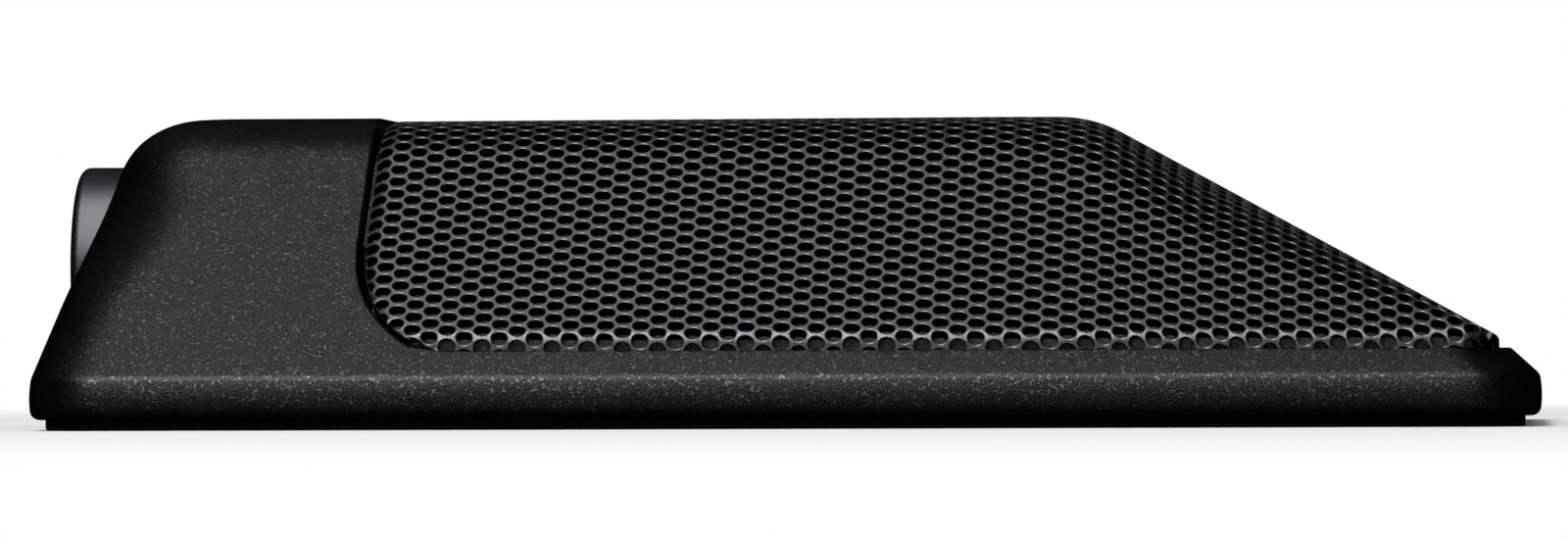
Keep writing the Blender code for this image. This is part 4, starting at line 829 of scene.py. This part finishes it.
def pale_floor():
    """Matt white floor paint. It keeps the object's shadow near by and turns to plain white for the camera
    and for reflections from WHITE_FROM to WHITE_TO away, so that no horizon shows."""
    made, tree, shader, place = start_material("pale_floor_paint", Roughness=0.9)
    noise = add_node(tree, "ShaderNodeTexNoise", {"Vector": place, "Scale": 3.0})
    ramp = add_node(tree, "ShaderNodeValToRGB", {"Fac": noise.outputs["Fac"]})
    ramp.color_ramp.elements[0].color, ramp.color_ramp.elements[1].color = linear("F2F2F2"), linear("F6F6F6")
    tree.links.new(ramp.outputs["Color"], shader.inputs["Base Color"])
    away = add_node(tree, "ShaderNodeVectorMath", {0: place}, operation="LENGTH")
    far = add_node(tree, "ShaderNodeMapRange", {"Value": away.outputs["Value"], "From Min": WHITE_FROM,
                                                "From Max": WHITE_TO})
    share = add_node(tree, "ShaderNodeMath", {0: shown_rays(tree), 1: far.outputs["Result"]},
                     operation="MULTIPLY")
    white = add_node(tree, "ShaderNodeEmission", {"Color": (1, 1, 1, 1), "Strength": 1.0})
    mix = add_node(tree, "ShaderNodeMixShader", {0: share.outputs[0], 1: shader.outputs[0],
                                                 2: white.outputs[0]})
    tree.links.new(mix.outputs[0], tree.nodes["Material Output"].inputs["Surface"])
    return made


def white_surroundings():
    """A world with a weak fill light that is plain white to the camera, in reflections and through glass."""
    world = bpy.data.worlds.new("studio_surroundings")
    bpy.context.scene.world = world
    world.use_nodes = True
    tree = world.node_tree
    tree.nodes.clear()
    fill, white = [add_node(tree, "ShaderNodeBackground", {"Color": (1, 1, 1, 1), "Strength": strength})
                   for strength in (FILL, 1.0)]
    mix = add_node(tree, "ShaderNodeMixShader", {0: shown_rays(tree), 1: fill.outputs[0],
                                                 2: white.outputs[0]})
    add_node(tree, "ShaderNodeOutputWorld", {"Surface": mix.outputs[0]})


def place_camera():
    """The camera looks at CAMERA_AIM along its yaw, tilted by the angle whose sine is the difference in
    height over the distance, and is rolled about its own axis."""
    data = bpy.data.cameras.new("camera")
    camera = bpy.data.objects.new("camera", data)
    bpy.context.scene.collection.objects.link(camera)
    bpy.context.scene.camera = camera
    aim = np.array(CAMERA_AIM)
    tilt = math.asin((CAMERA_HEIGHT - aim[2]) / CAMERA_DISTANCE)
    look = np.array([-math.sin(CAMERA_YAW) * math.cos(tilt), math.cos(CAMERA_YAW) * math.cos(tilt),
                     -math.sin(tilt)])
    right = np.array([math.cos(CAMERA_YAW), math.sin(CAMERA_YAW), 0])
    above = np.cross(right, look)
    cosine, sine = math.cos(CAMERA_ROLL), math.sin(CAMERA_ROLL)
    right, above = right * cosine - above * sine, above * cosine + right * sine
    place = aim - look * CAMERA_DISTANCE
    rows = [[right[k], above[k], -look[k], place[k]] for k in range(3)]
    camera.matrix_world = Matrix(rows + [[0, 0, 0, 1]])
    data.sensor_width, data.lens = SENSOR, LENS
    data.shift_x = (PICTURE[0] / 2 - AXIS_PIXEL[0]) / PICTURE[0]
    data.shift_y = (AXIS_PIXEL[1] - PICTURE[1] / 2) / PICTURE[0]
    data.clip_start, data.clip_end = 0.01, 50


def build_studio():
    """White surroundings, pale floor, black flags all round, softboxes in front and behind, and camera."""
    white_surroundings()
    rectangle("floor", (-FLOOR_REACH, -FLOOR_REACH, 0), (FLOOR_REACH, FLOOR_REACH, 0), pale_floor())
    # Black cloth without any sheen, so that reflections of it are black
    flag = start_material("black_flag_cloth", Base_Color=linear("050505"), Roughness=1.0,
                          Specular_IOR_Level=0.0)[0]
    for name, (low, high) in FLAGS.items():
        rectangle(name, low, high, flag, camera=False, shadow=False, diffuse=False)
    for lamp in SOFTBOXES:
        softbox(*lamp)
    place_camera()
    bpy.context.scene.view_settings.view_transform = "Standard"


def main():
    """Build and finish every piece. The CAD solids take their finish by the start of their names."""
    # Textured polyester powder coat on die-cast zinc: matt black with a sandy grain that sparkles
    paint = powder_coat("powder_coated_zinc_casting", "030303", "070707", 0.28, 0.2, 0.07, glint="686868")
    # Thin smooth coat on punched, drawn steel: satin webs that mirror the softbox, and a near-black painted
    # shade on the hole walls
    coat = powder_coat("coated_punched_steel", "6E7072", "828486", 0.42, 0.12, 0.012, 1.0, painted_shade="0A0A0A")
    # Woven acoustic cloth, threads 0.22 mm apart: dull dark grey, mottled, without gloss
    cloth = plain_finish("acoustic_cloth", "161616", "4A4A4A", 0.95, 0.22, 0.08)
    # Moulded nitrile rubber: the deepest black of all, hardly any sheen
    rubber = plain_finish("black_nitrile_rubber", "020202", "040404", 0.95, 0.5, 0.02, specular=0.12)
    # Zinc plating on drawn steel: pale bluish metal with faint lines along the draw
    zinc = plain_finish("zinc_plated_steel", "9A9CA0", "B2B4B8", 0.36, 0.4, 0.004, 1.0, (1, 6, 6))
    # Chemically blackened steel: near black with a dull metal sheen
    black_steel = plain_finish("blackened_steel", "18191A", "222325", 0.4, 0.3, 0.005, 0.9)
    # Moulded nylon: even dark grey with a soft sheen
    plastic = plain_finish("moulded_black_nylon", "101011", "191A1B", 0.46, 0.4, 0.01)
    # Gold plating on turned brass: warm, bright and smooth
    gold = plain_finish("gold_plated_brass", "D0AA50", "E0BC66", 0.24, 0.5, 0.002, 1.0, (1, 8, 8))
    # Glass-fibre laminate under green lacquer: satin green
    laminate = plain_finish("green_board_laminate", "1A5236", "246640", 0.5, 0.6, 0.01)
    # Turned brass: plain yellow metal with fine rings from the tool
    brass = plain_finish("turned_brass", "A98E4A", "C0A55E", 0.3, 0.3, 0.003, 1.0, (1, 1, 8))
    # Shrunk plastic film: smooth dark blue with a low gloss
    sleeve = plain_finish("capacitor_sleeve_film", "202C44", "283654", 0.38, 0.8, 0.005)
    # Nickel plating on brass: warm silver
    nickel = plain_finish("nickel_plated_brass", "AEADA6", "C4C3BC", 0.3, 0.3, 0.003, 1.0)
    # Black nickel plating: dark grey metal that still mirrors the softbox in a broad band
    gunmetal = plain_finish("black_nickel_plating", "56575A", "626366", 0.42, 0.3, 0.012, 1.0)
    # Extruded PVC: plain satin red
    insulation = plain_finish("red_wire_insulation", "82241F", "9A3028", 0.5, 0.6, 0.01)
    build_housing(paint)
    build_grille(coat)
    build_liner(cloth)
    build_pad(rubber)
    build_connector(gunmetal)
    finishes = {"grille_frame": paint, "base_plate": zinc, "base_screw": black_steel,
                "connector_insert": plastic, "pin_": gold, "collar_nut": zinc, "circuit_board": laminate,
                "standoff": brass, "board_screw": zinc, "output_transformer": black_steel,
                "capacitor": sleeve, "amplifier_chip": plastic, "capsule_cup": plastic,
                "capsule_ring": rubber, "capsule_body": nickel, "capsule_cap": black_steel,
                "signal_wire": insulation, "capsule_wire": insulation}
    for item in bpy.context.scene.objects:
        for key, surface in finishes.items():
            if item.type == "MESH" and item.name.startswith(key):
                item.data.materials.clear()
                item.data.materials.append(surface)
    build_studio()


main()
